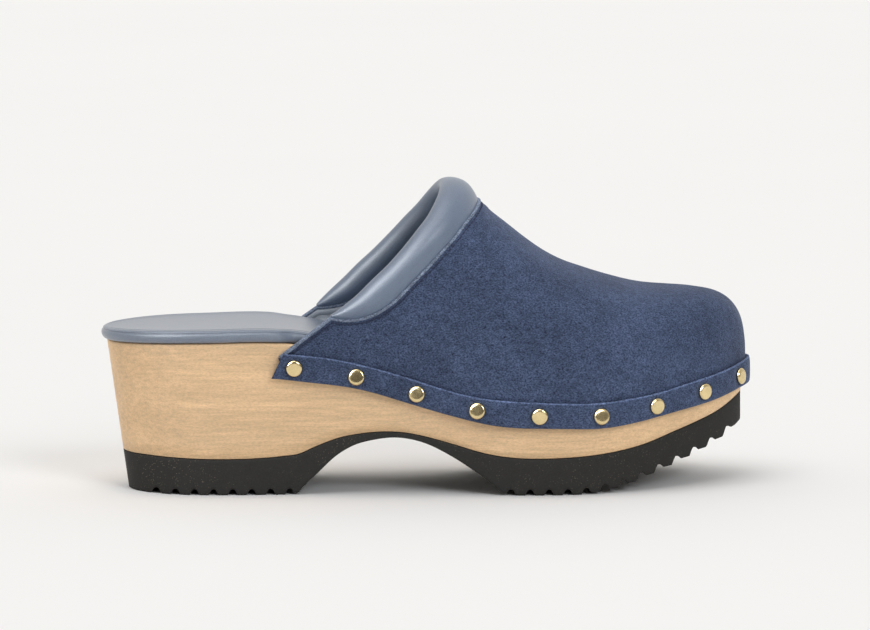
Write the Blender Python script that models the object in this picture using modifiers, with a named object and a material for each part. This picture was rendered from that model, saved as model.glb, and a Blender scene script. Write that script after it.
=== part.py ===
"""A right-foot clog: carved wooden sole, rubber outsole with a bar tread, padded insole,
suede upper, padded leather collar and a suede rand held by a row of flat brass nails.

Frame: +X runs towards the toe, +Y to the inner side of the foot, +Z up, and the floor is Z = 0.
A place along the sole is a share of its length, 0 at the back of the heel and 1 at the toe.
A place round the sole is an angle, 0 at the back of the heel, pi at the toe by way of the
outer side, and 2 pi at the heel again by way of the inner side.
"""

import math

import bmesh
import bpy
import numpy as np
from mathutils import Vector

MM = 0.001

# The wooden sole
SOLE_LENGTH = 254.8 * MM
BALL_WIDTH = 93.5 * MM
HEEL_TOP = 60.7 * MM
BALL_TOP = 35.9 * MM
TOE_RISE = 11.7 * MM
FOOTBED_DISH = 2.0 * MM
ARCH_RISE = 9.9 * MM
TOE_SPRING = 20.2 * MM

# The rubber outsole
HEEL_RUBBER = 15.7 * MM
BALL_RUBBER = 14.9 * MM
TREAD_ARCH = 22.7 * MM
TREAD_TOE = 23.0 * MM
TREAD_PITCH = 7.5 * MM
TREAD_SLOT = 3.8 * MM
TREAD_SLOT_FLOOR = 1.2 * MM
TREAD_DEPTH = 2.3 * MM
TREAD_FLATTENING = 0.6

# The padded insole
INSOLE_THICKNESS = 5.0 * MM
INSOLE_CROWN = 1.2 * MM
INSOLE_OVERHANG = 2.2 * MM
INSOLE_INSET = 1.1 * MM
INSOLE_ROLL = 1.9 * MM

# The suede upper, the rand over its lower edge, and the collar
UPPER_WALL = 1.6 * MM
INSTEP_HEIGHT = 121.1 * MM
TOE_BOX_HEIGHT = 76.9 * MM
RAND_HEIGHT = 9.8 * MM
RAND_THICKNESS = 1.5 * MM
RAND_OVERLAP = 1.0 * MM
COLLAR_ROLL = 4.2 * MM
COLLAR_SHIFT = 0.5 * MM

# The nails
NAIL_PITCH = 25.0 * MM
NAIL_HEAD_RADIUS = 3.3 * MM
NAIL_HEAD_HEIGHT = 1.2 * MM
NAIL_SHANK_RADIUS = 1.0 * MM
NAIL_SHANK_LENGTH = 13.0 * MM

# What keeps neighbours apart
GAP = 0.3 * MM
NAIL_HOLE_PLAY = 0.3 * MM

# How finely the solids are cut
HEEL_STATIONS = 13
SEAM_COLUMNS = 12
FRONT_COLUMNS = 15
RIB_ROWS = 13
NAIL_SIDES = 10

# Plan outline of the wooden sole at its top edge, as shares of BALL_WIDTH either side of the
# long axis. The toe leans to the inner side, as on any right last.
OUTLINE = (
    # along, outer side, inner side
    (0.00, 0.000, 0.000),
    (0.03, 0.203, 0.200),
    (0.10, 0.315, 0.310),
    (0.20, 0.346, 0.338),
    (0.32, 0.353, 0.322),
    (0.45, 0.388, 0.318),
    (0.55, 0.442, 0.360),
    (0.64, 0.484, 0.442),
    (0.72, 0.489, 0.500),
    (0.80, 0.432, 0.500),
    (0.88, 0.318, 0.436),
    (0.94, 0.194, 0.336),
    (0.98, 0.062, 0.228),
    (1.00, -0.086, 0.086),
)

# How far the sole's side leans inwards on its way down, in metres per metre
SIDE_LEAN = (
    # along, lean
    (0.00, 0.135),
    (0.05, 0.105),
    (0.12, 0.060),
    (0.30, 0.040),
    (0.50, 0.045),
    (0.75, 0.055),
    (0.92, 0.050),
    (1.00, 0.000),
)

# Top edge of the wooden sole: shares of the drop from heel to ball, and of TOE_RISE
SOLE_TOP = (
    # along, share of heel height over the ball, share of toe rise
    (0.00, 0.965, 0.00),
    (0.06, 0.985, 0.00),
    (0.15, 1.000, 0.00),
    (0.28, 0.984, 0.00),
    (0.34, 0.882, 0.00),
    (0.40, 0.720, 0.00),
    (0.46, 0.516, 0.00),
    (0.52, 0.313, 0.00),
    (0.58, 0.150, 0.00),
    (0.64, 0.050, 0.00),
    (0.70, 0.010, 0.00),
    (0.76, 0.000, 0.02),
    (0.82, 0.000, 0.17),
    (0.88, 0.000, 0.40),
    (0.94, 0.000, 0.64),
    (1.00, 0.000, 1.00),
)

# Underside of the wooden sole: shares of HEEL_RUBBER over BALL_RUBBER, ARCH_RISE and TOE_SPRING
SOLE_UNDER = (
    # along, share of heel rubber, share of arch rise, share of toe spring
    (0.00, 1.0, 0.00, 0.00),
    (0.27, 1.0, 0.00, 0.00),
    (0.29, 1.0, 0.06, 0.00),
    (0.32, 1.0, 0.39, 0.00),
    (0.355, 0.9, 0.73, 0.00),
    (0.39, 0.8, 0.91, 0.00),
    (0.43, 0.6, 1.00, 0.00),
    (0.457, 0.5, 0.97, 0.00),
    (0.49, 0.4, 0.81, 0.00),
    (0.53, 0.2, 0.55, 0.00),
    (0.578, 0.1, 0.20, 0.00),
    (0.62, 0.0, 0.04, 0.00),
    (0.67, 0.0, 0.00, 0.00),
    (0.72, 0.0, 0.00, 0.02),
    (0.776, 0.0, 0.00, 0.08),
    (0.83, 0.0, 0.00, 0.20),
    (0.884, 0.0, 0.00, 0.41),
    (0.92, 0.0, 0.00, 0.55),
    (0.956, 0.0, 0.00, 0.71),
    (1.00, 0.0, 0.00, 1.00),
)

# The outsole stands flat on the floor but for the arch and the toe
TREAD_ARCH_LINE = (
    # along, share of tread arch
    (0.2900, 0.00),
    (0.3020, 0.17),
    (0.3200, 0.36),
    (0.3480, 0.66),
    (0.3730, 0.84),
    (0.4080, 0.96),
    (0.4450, 1.00),
    (0.4880, 0.90),
    (0.5240, 0.70),
    (0.5600, 0.44),
    (0.5900, 0.19),
    (0.6080, 0.00),
)
TREAD_TOE_LINE = (
    # along, share of tread toe
    (0.725, 0.00),
    (0.776, 0.07),
    (0.812, 0.16),
    (0.847, 0.29),
    (0.884, 0.43),
    (0.920, 0.58),
    (0.956, 0.74),
    (1.000, 1.00),
)

# Crest of the last over the long axis: shares of INSTEP_HEIGHT and of TOE_BOX_HEIGHT, and how
# far the crest lies to the inner side as a share of BALL_WIDTH
CREST = (
    # along, share of instep height, share of toe box height, inner shift
    (0.26, 0.985, 0.000, 0.000),
    (0.35, 1.000, 0.000, 0.000),
    (0.43, 1.016, 0.000, 0.000),
    (0.49, 1.010, 0.000, 0.000),
    (0.533, 0.990, 0.000, 0.000),
    (0.557, 0.970, 0.000, 0.002),
    (0.582, 0.938, 0.000, 0.006),
    (0.600, 0.905, 0.000, 0.010),
    (0.627, 0.860, 0.000, 0.018),
    (0.657, 0.809, 0.000, 0.027),
    (0.687, 0.764, 0.000, 0.036),
    (0.717, 0.730, 0.000, 0.045),
    (0.747, 0.706, 0.000, 0.053),
    (0.792, 0.342, 0.523, 0.065),
    (0.837, 0.000, 1.021, 0.075),
    (0.890, 0.000, 1.000, 0.084),
)
FAN_START = 0.78
FAN_POLE = 0.89
THROAT_FOOT = 0.69

# Fullness of the upper's cross-section: 2 is an ellipse, and more is boxier
FULLNESS = (
    # along, exponent
    (0.25, 2.3),
    (0.60, 2.2),
    (0.80, 2.5),
    (1.00, 3.1),
)

# Centre line of the rand, as a drop below the sole's top edge in shares of RAND_HEIGHT
RAND_DROP = (
    # along, drop
    (0.25, 0.93),
    (0.292, 0.93),
    (0.3875, 0.77),
    (0.485, 0.66),
    (0.576, 0.60),
    (0.67, 0.45),
    (0.77, 0.46),
    (0.858, 0.46),
    (0.9345, 0.43),
    (1.00, 0.45),
)
RAND_END_LOW = 0.251
RAND_END_HIGH = 0.269
FIRST_NAIL = 0.2862
LAST_NAIL = 0.3020
QUARTER_END = 0.264

# The seam between suede and collar, and the collar's free edge, from the corner of the quarter
# up to the middle of the instep. Rise is the share of the way up the rib, by angle.
SEAM = (
    # step, along, rise
    (0.00, 0.3440, 0.107),
    (0.10, 0.3650, 0.109),
    (0.20, 0.3890, 0.125),
    (0.30, 0.4160, 0.160),
    (0.40, 0.4435, 0.219),
    (0.52, 0.4720, 0.301),
    (0.68, 0.5130, 0.434),
    (0.80, 0.5460, 0.574),
    (0.90, 0.5730, 0.764),
    (1.00, 0.5840, 1.000),
)
FREE_EDGE = (
    # step, along, rise
    (0.00, 0.3440, 0.120),
    (0.10, 0.3540, 0.140),
    (0.20, 0.3690, 0.175),
    (0.30, 0.3870, 0.220),
    (0.40, 0.4070, 0.278),
    (0.52, 0.4360, 0.362),
    (0.68, 0.4770, 0.516),
    (0.80, 0.5025, 0.650),
    (0.90, 0.5180, 0.810),
    (1.00, 0.5230, 1.000),
)
INNER_SIDE_BACK = 0.010
INNER_SIDE_LOW = 0.032

# Section of the collar from the seam to its free edge
COLLAR_MARKS = (0.0, 0.13, 0.30, 0.52, 0.74, 0.91, 1.0)
COLLAR_FULL_AT = 0.52

TAPER = (
    # step, share of the full roll
    (0.00, 0.34),
    (0.10, 0.62),
    (0.24, 0.92),
    (0.40, 1.00),
    (1.00, 1.00),
)

COLOURS = {
    # piece: red, green, blue, roughness, metallic
    "wood": (0.72, 0.50, 0.29, 0.55, 0.0),
    "rubber": (0.030, 0.030, 0.031, 0.75, 0.0),
    "leather": (0.135, 0.185, 0.265, 0.42, 0.0),
    "suede": (0.050, 0.075, 0.150, 0.95, 0.0),
    "brass": (0.62, 0.47, 0.22, 0.32, 1.0),
}


def smooth_curve(places, values):
    """A curve through the rows: cubics whose slope at a row is its neighbours' weighted mean."""
    places = np.asarray(places, float)
    values = np.asarray(values, float)
    steps = np.diff(places)
    rises = np.diff(values) / steps
    slopes = np.empty_like(values)
    slopes[1:-1] = (rises[:-1] * steps[1:] + rises[1:] * steps[:-1]) / (steps[:-1] + steps[1:])
    slopes[0] = rises[0]
    slopes[-1] = rises[-1]

    def curve(place):
        place = np.clip(place, places[0], places[-1])
        row = np.clip(np.searchsorted(places, place, side="right") - 1, 0, len(steps) - 1)
        width = steps[row]
        t = (place - places[row]) / width
        start = values[row] * (1 + 2 * t) * (1 - t) ** 2 + slopes[row] * width * t * (1 - t) ** 2
        end = values[row + 1] * t * t * (3 - 2 * t) + slopes[row + 1] * width * t * t * (t - 1)
        return start + end

    return curve


def column_curve(table, column):
    """The curve of one column of a table over its first column."""
    return smooth_curve([row[0] for row in table], [row[column] for row in table])


def angle_of(along, inner=False):
    """The angle round the sole of a place along it."""
    angle = np.arccos(1 - 2 * np.asarray(along, float))
    return 2 * math.pi - angle if inner else angle


def along_of(angle):
    """The place along the sole of an angle round it."""
    return (1 - np.cos(angle)) / 2


def closed_outline():
    """Sideways place of the sole's top edge over the angle round it, as one closed curve."""
    outer = [(float(angle_of(row[0])), -row[1] * BALL_WIDTH) for row in OUTLINE]
    inner = [(float(angle_of(row[0], True)), row[2] * BALL_WIDTH) for row in OUTLINE[-2::-1]]
    rows = outer + inner
    before = [(angle - 2 * math.pi, side) for angle, side in rows[-4:-1]]
    after = [(angle + 2 * math.pi, side) for angle, side in rows[1:4]]
    rows = before + rows + after
    return smooth_curve([row[0] for row in rows], [row[1] for row in rows])


OUTLINE_SIDE = closed_outline()
LEAN = column_curve(SIDE_LEAN, 1)
TOP_HEEL = column_curve(SOLE_TOP, 1)
TOP_TOE = column_curve(SOLE_TOP, 2)
UNDER_HEEL = column_curve(SOLE_UNDER, 1)
UNDER_ARCH = column_curve(SOLE_UNDER, 2)
UNDER_TOE = column_curve(SOLE_UNDER, 3)
TREAD_ARCH_SHARE = column_curve(TREAD_ARCH_LINE, 1)
TREAD_TOE_SHARE = column_curve(TREAD_TOE_LINE, 1)
CREST_INSTEP = column_curve(CREST, 1)
CREST_TOE = column_curve(CREST, 2)
CREST_SHIFT = column_curve(CREST, 3)
SECTION_FULLNESS = column_curve(FULLNESS, 1)
DROP = column_curve(RAND_DROP, 1)
COLLAR_TAPER = column_curve(TAPER, 1)


def sole_top(along):
    """Height of the wooden sole's top edge."""
    return BALL_TOP + (HEEL_TOP - BALL_TOP) * TOP_HEEL(along) + TOE_RISE * TOP_TOE(along)


def sole_under(along):
    """Height of the wooden sole's underside."""
    rubber = BALL_RUBBER + (HEEL_RUBBER - BALL_RUBBER) * UNDER_HEEL(along)
    return rubber + ARCH_RISE * UNDER_ARCH(along) + TOE_SPRING * UNDER_TOE(along)


def tread_line(along):
    """Height of the outsole's underside, its slots left out."""
    along = np.asarray(along, float)
    in_arch = (along > TREAD_ARCH_LINE[0][0]) & (along < TREAD_ARCH_LINE[-1][0])
    in_toe = along > TREAD_TOE_LINE[0][0]
    arch = np.where(in_arch, TREAD_ARCH * TREAD_ARCH_SHARE(along), 0.0)
    return arch + np.where(in_toe, TREAD_TOE * TREAD_TOE_SHARE(along), 0.0)


def edge_point(angle, outward=0.0):
    """Plan place on the sole's top edge, moved outwards along the edge's own normal."""
    angle = np.asarray(angle, float)
    step = 1e-4
    ahead = np.stack([SOLE_LENGTH * along_of(angle + step), OUTLINE_SIDE(angle + step)], -1)
    behind = np.stack([SOLE_LENGTH * along_of(angle - step), OUTLINE_SIDE(angle - step)], -1)
    tangent = ahead - behind
    tangent /= np.linalg.norm(tangent, axis=-1, keepdims=True)
    normal = np.stack([tangent[..., 1], -tangent[..., 0]], -1)
    here = np.stack([SOLE_LENGTH * along_of(angle), OUTLINE_SIDE(angle)], -1)
    return here + normal * np.asarray(outward, float)[..., None]


def side_point(angle, height, outward=0.0):
    """A point on the sole's leaning side at a height, moved outwards."""
    angle, height, outward = np.broadcast_arrays(
        np.asarray(angle, float), np.asarray(height, float), np.asarray(outward, float)
    )
    along = along_of(angle)
    plan = edge_point(angle, outward - LEAN(along) * (sole_top(along) - height))
    return np.concatenate([plan, height[..., None]], -1)


def rib_foot_x(along):
    """Where the rib that starts at this place meets the crest: straight across on the instep,
    and fanning out from a pole in the toe box."""
    along = np.asarray(along, float)
    share = np.clip((along - FAN_START) / (1 - FAN_START), 0, 1)
    return np.minimum(along, FAN_START) + (FAN_POLE - FAN_START) * (2 * share - share**2)


def crest_point(along):
    """A point on the crest of the last."""
    foot = rib_foot_x(along)
    height = INSTEP_HEIGHT * CREST_INSTEP(foot) + TOE_BOX_HEIGHT * CREST_TOE(foot)
    return np.stack([SOLE_LENGTH * foot, BALL_WIDTH * CREST_SHIFT(foot), height], -1)


def last_point(angle, rise):
    """A point on the upper's outer surface. Above the sole's top edge a rib is a quarter of a
    superellipse up to the crest, and rise is its angle as a share. Below, rise runs from 0 down
    to -1 at the rand's lower edge, straight down the side of the sole."""
    angle, rise = np.broadcast_arrays(np.asarray(angle, float), np.asarray(rise, float))
    along = along_of(angle)
    top = sole_top(along)
    outward = GAP + UPPER_WALL
    low = rand_centre(along) - RAND_HEIGHT / 2 + RAND_OVERLAP
    below = side_point(angle, top + np.minimum(rise, 0) * (top - low), outward)
    crest = crest_point(along)
    fullness = SECTION_FULLNESS(along)
    turn = np.clip(rise, 0, 1) * math.pi / 2
    inwards = 1 - np.abs(np.cos(turn)) ** (2 / fullness)
    upwards = np.sin(turn) ** (2 / fullness)
    plan = below[..., :2] + (crest[..., :2] - below[..., :2]) * inwards[..., None]
    height = below[..., 2] + (crest[..., 2] - top) * upwards
    return np.concatenate([plan, height[..., None]], -1)


def rand_centre(along):
    """Height of the rand's centre line."""
    return sole_top(along) - RAND_HEIGHT * DROP(along)


def seam_place(table, step, inner):
    """Place along and rise of a throat line at a step from the quarter's corner to the instep.
    On the inner side the line runs a little further back, and its corner sits lower."""
    step = np.asarray(step, float)
    mirrored = [(2 - row[0], row[1], 2 - row[2]) for row in table[-2::-1]]
    rows = list(table) + mirrored
    along = column_curve(rows, 1)(step)
    rise = column_curve(rows, 2)(step)
    if inner:
        along = along - INNER_SIDE_BACK * (1 - step**4)
        rise = rise - INNER_SIDE_LOW * (1 - step) ** 4
    return along, rise


def new_object(name, mesh, colour, group):
    """Links a mesh as a named object with its own material."""
    thing = bpy.data.objects.new(name, mesh)
    group.objects.link(thing)
    red, green, blue, roughness, metallic = COLOURS[colour]
    material = bpy.data.materials.get(colour) or bpy.data.materials.new(colour)
    material.use_nodes = True
    shader = material.node_tree.nodes["Principled BSDF"]
    shader.inputs["Base Color"].default_value = (red, green, blue, 1.0)
    shader.inputs["Roughness"].default_value = roughness
    shader.inputs["Metallic"].default_value = metallic
    thing.data.materials.append(material)
    return thing


def grid_mesh(name, rows, closed_rows=False, caps=False):
    """A mesh from a grid of points, rows x columns x 3. Points that fall together are merged,
    so a section may shrink to a line or a point at the end of a loft."""
    count, width = rows.shape[:2]
    shape = bmesh.new()
    verts = [shape.verts.new(point) for point in rows.reshape(-1, 3)]
    last = width if closed_rows else width - 1
    for i in range(count - 1):
        for j in range(last):
            k = (j + 1) % width
            corners = (i * width + j, i * width + k, (i + 1) * width + k, (i + 1) * width + j)
            shape.faces.new([verts[corner] for corner in corners])
    if caps:
        shape.faces.new(verts[:width])
        shape.faces.new(verts[-width:][::-1])
    bmesh.ops.remove_doubles(shape, verts=shape.verts, dist=0.01 * MM)
    bmesh.ops.dissolve_degenerate(shape, edges=shape.edges, dist=0.001 * MM)
    bmesh.ops.recalc_face_normals(shape, faces=shape.faces)
    mesh = bpy.data.meshes.new(name)
    shape.to_mesh(mesh)
    shape.free()
    mesh.shade_smooth()
    mesh.set_sharp_from_angle(angle=math.radians(35))
    return mesh


def even_marks(path, count):
    """Shares of a path's parameter that cut it into pieces of equal length."""
    run = np.concatenate([[0], np.cumsum(np.linalg.norm(np.diff(path, axis=0), axis=1))])
    return np.interp(np.linspace(0, run[-1], count + 1), run, np.linspace(0, 1, len(path)))


def quarter_feet():
    """Places where the ribs of the quarter stand, behind its corner."""
    return QUARTER_END + (SEAM[0][1] - QUARTER_END) * np.array([0.0, 0.2, 0.45, 0.72])


def throat_feet():
    """Places where the ribs that end at the seam stand."""
    shares = np.linspace(0, 1, SEAM_COLUMNS + 1) ** 1.15
    return SEAM[0][1] + (THROAT_FOOT - SEAM[0][1]) * shares


def toe_feet():
    """Places where the ribs that end on the crest stand, even steps apart round the toe."""
    angles = np.linspace(angle_of(THROAT_FOOT), math.pi, 400)
    marks = even_marks(side_point(angles, BALL_TOP), FRONT_COLUMNS)
    return along_of(angles[0] + (math.pi - angles[0]) * marks)


def foot_angles():
    """Angles of all the upper's ribs on the outer side. Sole and rand share them, so that
    facets that lie against one another have the same corners."""
    return angle_of(np.concatenate([quarter_feet(), throat_feet(), toe_feet()[1:]]))


def sole_angles():
    """Angles of the sole's stations: even over the heel, and the upper's ribs from there on."""
    feet = foot_angles()
    return np.concatenate([np.linspace(0, feet[0], HEEL_STATIONS, endpoint=False), feet])


def footbed_rows(outer, inner, lift, crown=0.0):
    """Points across the dished footbed between its outer and inner edges at each station."""
    shares = np.array([-0.62, 0.0, 0.62])
    middle = (outer + inner) / 2
    half = (inner - outer) / 2
    plan = middle[:, None, :2] + half[:, None, :2] * shares[None, :, None]
    narrow = np.clip(np.linalg.norm(half[:, :2], axis=-1) / (0.3 * BALL_WIDTH), 0, 1)
    dish = narrow[:, None] * (1 - shares[None] ** 2)
    height = sole_top(plan[..., 0] / SOLE_LENGTH) + lift + (crown - FOOTBED_DISH) * dish
    return np.concatenate([plan, height[..., None]], -1)


def build_wood_sole(group):
    """The wooden sole: a loft of sections with leaning sides and a dished footbed."""
    angles = sole_angles()
    along = along_of(angles)
    sides = [
        side_point(angles, sole_under(along)),
        side_point(angles, sole_top(along)),
    ]
    far_sides = [
        side_point(2 * math.pi - angles, sole_top(along)),
        side_point(2 * math.pi - angles, sole_under(along)),
    ]
    footbed = footbed_rows(sides[1], far_sides[0], 0.0)
    rows = np.stack(sides + list(footbed.transpose(1, 0, 2)) + far_sides, axis=1)
    return new_object("wood_sole", grid_mesh("wood_sole", rows, closed_rows=True), "wood", group)


def bottom_edge_x(along):
    """How far forward the outsole's bottom edge lies at a station."""
    angle = angle_of(along)
    place = np.asarray(along, float)
    outer = side_point(angle, tread_line(place))
    inner = side_point(2 * math.pi - angle, tread_line(place))
    return (outer[..., 0] + inner[..., 0]) / 2


def tread_fields():
    """The slots of heel and forefoot: the first slot's centre, the way they go on from it, and
    how many there are. Each field starts at the arch and ends short of the sole's own end."""
    half = TREAD_SLOT / 2
    heel_first = TREAD_ARCH_LINE[0][0] * SOLE_LENGTH - 0.4 * TREAD_PITCH
    toe_first = TREAD_ARCH_LINE[-1][0] * SOLE_LENGTH + 0.4 * TREAD_PITCH
    heel_room = heel_first - half - (float(bottom_edge_x(0.0)) + MM)
    toe_room = float(bottom_edge_x(1.0)) - 1.5 * MM - (toe_first + half)
    return (
        (heel_first, -1, 1 + int(heel_room / TREAD_PITCH)),
        (toe_first, 1, 1 + int(toe_room / TREAD_PITCH)),
    )


def tread_height(x, fine, reach):
    """Height of the slotted tread at a place on the bottom edge. A tooth is flatter than the
    line it stands on, so that the teeth under the toe rise in steps."""

    def line(place):
        return float(tread_line(np.interp(place, reach, fine)))

    for first, way, count in tread_fields():
        steps = (x - first) * way / TREAD_PITCH
        slot = int(round(steps))
        if steps < -0.5 or steps > count - 0.5:
            continue
        aside = abs(steps - slot) * TREAD_PITCH
        floor = line(first + way * slot * TREAD_PITCH) + TREAD_DEPTH
        if aside <= TREAD_SLOT_FLOOR / 2 + 0.001 * MM:
            return floor
        middle = first + way * (math.floor(steps) + 0.5) * TREAD_PITCH
        return line(x) + (line(middle) - line(x)) * TREAD_FLATTENING
    return line(x)


def tread_stations():
    """Places along the outsole's bottom edge where its lower line bends."""
    places = [row[0] * SOLE_LENGTH for row in TREAD_ARCH_LINE]
    corners = (-TREAD_SLOT / 2, -TREAD_SLOT_FLOOR / 2, TREAD_SLOT_FLOOR / 2, TREAD_SLOT / 2)
    for first, way, count in tread_fields():
        for slot in range(count):
            centre = first + way * slot * TREAD_PITCH
            places += [centre + corner for corner in corners]
    return sorted(places)


def build_outsole(group):
    """The rubber outsole: flush with the wood's side, with a thin waist and a slotted tread."""
    fine = np.linspace(0, 1, 2001)
    reach = bottom_edge_x(fine)
    places = tread_stations()
    room = TREAD_SLOT / 3
    for along in along_of(sole_angles())[1:-1]:
        x = float(np.interp(along, fine, reach))
        if min(abs(x - place) for place in places) > room:
            places.append(x)
    heights = [tread_height(x, fine, reach) for x in sorted(places)]
    ends = [float(tread_line(0.0)), float(tread_line(1.0))]
    low = np.array([ends[0]] + heights + [ends[1]])
    along = np.concatenate([[0.0], np.interp(sorted(places), reach, fine), [1.0]])
    angles = angle_of(along)
    high = sole_under(along) - GAP
    rows = np.stack(
        [
            side_point(angles, low),
            side_point(angles, high),
            side_point(2 * math.pi - angles, high),
            side_point(2 * math.pi - angles, low),
        ],
        axis=1,
    )
    return new_object("outsole", grid_mesh("outsole", rows, closed_rows=True), "rubber", group)


def insole_outward(along):
    """How far the insole's edge stands out past the sole's top edge: over the bare heel it
    overhangs, and inside the upper it stays clear of the wall."""
    inside = np.clip((np.asarray(along, float) - 0.225) / 0.045, 0, 1)
    ease = inside * inside * (3 - 2 * inside)
    return INSOLE_OVERHANG * (1 - ease) - INSOLE_INSET * ease


def build_insole(group):
    """The padded insole: it follows the footbed, and its edge is rolled."""
    angles = sole_angles()
    edge = insole_outward(along_of(angles))
    rolled = (
        # inset from the edge in rolls, height as a share of the thickness
        (1.0, 0.00),
        (0.2, 0.18),
        (0.0, 0.48),
        (0.25, 0.80),
        (1.0, 0.98),
    )

    def edge_rows(around):
        places = []
        for inset, share in rolled:
            plan = edge_point(around, edge - inset * INSOLE_ROLL)
            height = sole_top(plan[:, 0] / SOLE_LENGTH) + GAP + share * INSOLE_THICKNESS
            places.append(np.concatenate([plan, height[:, None]], -1))
        return places

    outer = edge_rows(angles)
    inner = edge_rows(2 * math.pi - angles)
    above = footbed_rows(outer[-1], inner[-1], GAP + INSOLE_THICKNESS, INSOLE_CROWN)
    below = footbed_rows(outer[0], inner[0], GAP)
    ring = outer + list(above.transpose(1, 0, 2)) + inner[::-1]
    ring += list(below.transpose(1, 0, 2))[::-1]
    rows = np.stack(ring, axis=1)
    mesh = grid_mesh("insole", rows, closed_rows=True)
    return new_object("insole", mesh, "leather", group)


def even_rib(foot, head, head_rise):
    """One rib of the upper, in steps of equal length: from its lower edge at the foot's angle
    it sweeps up over the last to the head's angle and rise."""
    fine = np.linspace(-1, head_rise, 240)
    sweep = np.clip(fine / head_rise, 0, 1)
    path = last_point(foot + (head - foot) * sweep, fine)
    run = np.concatenate([[0], np.cumsum(np.linalg.norm(np.diff(path, axis=0), axis=1))])
    rise = np.interp(np.linspace(0, run[-1], RIB_ROWS + 1), run, fine)
    return last_point(foot + (head - foot) * np.clip(rise / head_rise, 0, 1), rise)


def quarter_ribs(inner):
    """Ribs between the quarter's back end and its corner, where its edge slants upwards."""
    corner, corner_rise = seam_place(SEAM, 0.0, inner)
    feet = quarter_feet()
    shares = (feet - QUARTER_END) / (SEAM[0][1] - QUARTER_END)
    corner_height = last_point(angle_of(corner, inner), corner_rise)[2]
    end_height = rand_centre(QUARTER_END) + 0.35 * RAND_HEIGHT
    ribs = []
    for foot, share in zip(feet, shares):
        head = float(angle_of(QUARTER_END + (corner - QUARTER_END) * share, inner))
        height = end_height + (corner_height - end_height) * share
        fine = np.linspace(-1, 0.4, 1401)
        levels = last_point(np.full_like(fine, head), fine)[:, 2]
        ribs.append((float(angle_of(foot, inner)), head, float(np.interp(height, levels, fine))))
    return ribs


def throat_steps(inner):
    """Steps along the throat, from the quarter's corner to its top, even along the seam."""
    fine = np.linspace(0, 1, 400)
    along, rise = seam_place(SEAM, fine, inner)
    return even_marks(last_point(angle_of(along, inner), rise), SEAM_COLUMNS)


def throat_ribs(inner):
    """Ribs that end at the seam, even steps apart along it."""
    head, head_rise = seam_place(SEAM, throat_steps(inner), inner)
    foot = angle_of(throat_feet(), inner)
    rows = zip(foot, angle_of(head, inner), np.minimum(head_rise, 1.0))
    return [tuple(float(value) for value in row) for row in rows]


def toe_ribs(inner):
    """Ribs that end on the crest, from the top of the throat to the pole of the toe box."""
    foot = angle_of(toe_feet(), inner)
    fine = np.linspace(angle_of(SEAM[-1][1]), math.pi, 400)
    head = fine[0] + (math.pi - fine[0]) * even_marks(crest_point(along_of(fine)), FRONT_COLUMNS)
    if inner:
        head = 2 * math.pi - head
    return [(float(low), float(high), 1.0) for low, high in zip(foot, head)]


def build_upper(group):
    """The suede upper: ribs from the rand over the last, one open sheet given its wall."""
    outer = quarter_ribs(False) + throat_ribs(False) + toe_ribs(False)[1:]
    inner = quarter_ribs(True) + throat_ribs(True) + toe_ribs(True)[1:-1]
    rows = np.array([even_rib(*rib) for rib in outer + inner[::-1]])
    upper = new_object("upper", grid_mesh("upper", rows), "suede", group)
    wall = upper.modifiers.new("wall", "SOLIDIFY")
    wall.thickness = UPPER_WALL
    wall.offset = -1
    wall.use_even_offset = True
    return upper


def build_collar(group):
    """The padded collar: a leather roll along the throat, between the seam and its free edge.
    It starts as thin as the upper's wall, swells to a half-round and closes at the free edge."""
    sections = [collar_section(float(step), False) for step in throat_steps(False)]
    sections += [collar_section(float(step), True) for step in throat_steps(True)[-2::-1]]
    mesh = grid_mesh("collar", np.array(sections), closed_rows=True, caps=True)
    return new_object("collar", mesh, "leather", group)


def collar_surface(step, share, inner):
    """A point of the collar's guide surface: the last, between the seam and the free edge.
    Past the top of the throat, a step over 1 carries on down the other side."""
    if step > 1:
        step, inner = 2 - step, not inner
    seam_along, seam_rise = seam_place(SEAM, step, inner)
    edge_along, edge_rise = seam_place(FREE_EDGE, step, inner)
    along = seam_along + (edge_along - seam_along) * share
    rise = seam_rise + (edge_rise - seam_rise) * share
    return last_point(angle_of(along, inner), rise)


def collar_normal(step, share, inner):
    """The guide surface's outward normal."""
    small = 0.01
    here = collar_surface(step, share, inner)
    along = collar_surface(step + small, share, inner)
    across = collar_surface(step, share + small, inner)
    normal = np.cross(along - here, across - here)
    normal /= np.linalg.norm(normal)
    return -normal if inner else normal


def collar_section(step, inner):
    """The closed section of the collar at a step along the throat."""
    ends = [collar_surface(step, share, inner) for share in (0.0, 1.0)]
    first = GAP / float(np.linalg.norm(ends[1] - ends[0]))
    roll = COLLAR_ROLL * float(COLLAR_TAPER(step))
    outer, inside = [], []
    for mark in COLLAR_MARKS:
        share = first + (1 - first) * mark
        here = collar_surface(step, share, inner)
        normal = collar_normal(step, share, inner)
        swell = math.sin(min(mark / COLLAR_FULL_AT, 1.0) * math.pi / 2)
        half = UPPER_WALL / 2 + (roll - UPPER_WALL / 2) * swell
        past = max(0.0, mark - COLLAR_FULL_AT) / (1 - COLLAR_FULL_AT)
        half *= math.sqrt(max(0.0, 1 - past * past))
        centre = -UPPER_WALL / 2 + (UPPER_WALL / 2 - COLLAR_SHIFT) * swell
        outer.append(here + normal * (centre + half))
        inside.append(here + normal * (centre - half))
    return outer + inside[-2::-1]


def rand_angles():
    """Angles of the rand's stations: its two ends, and the upper's ribs between them."""
    start = float(angle_of((RAND_END_LOW + RAND_END_HIGH) / 2))
    feet = foot_angles()[1:]
    outer = np.concatenate([[start], feet])
    return np.concatenate([outer, 2 * math.pi - outer[-2::-1]])


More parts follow.
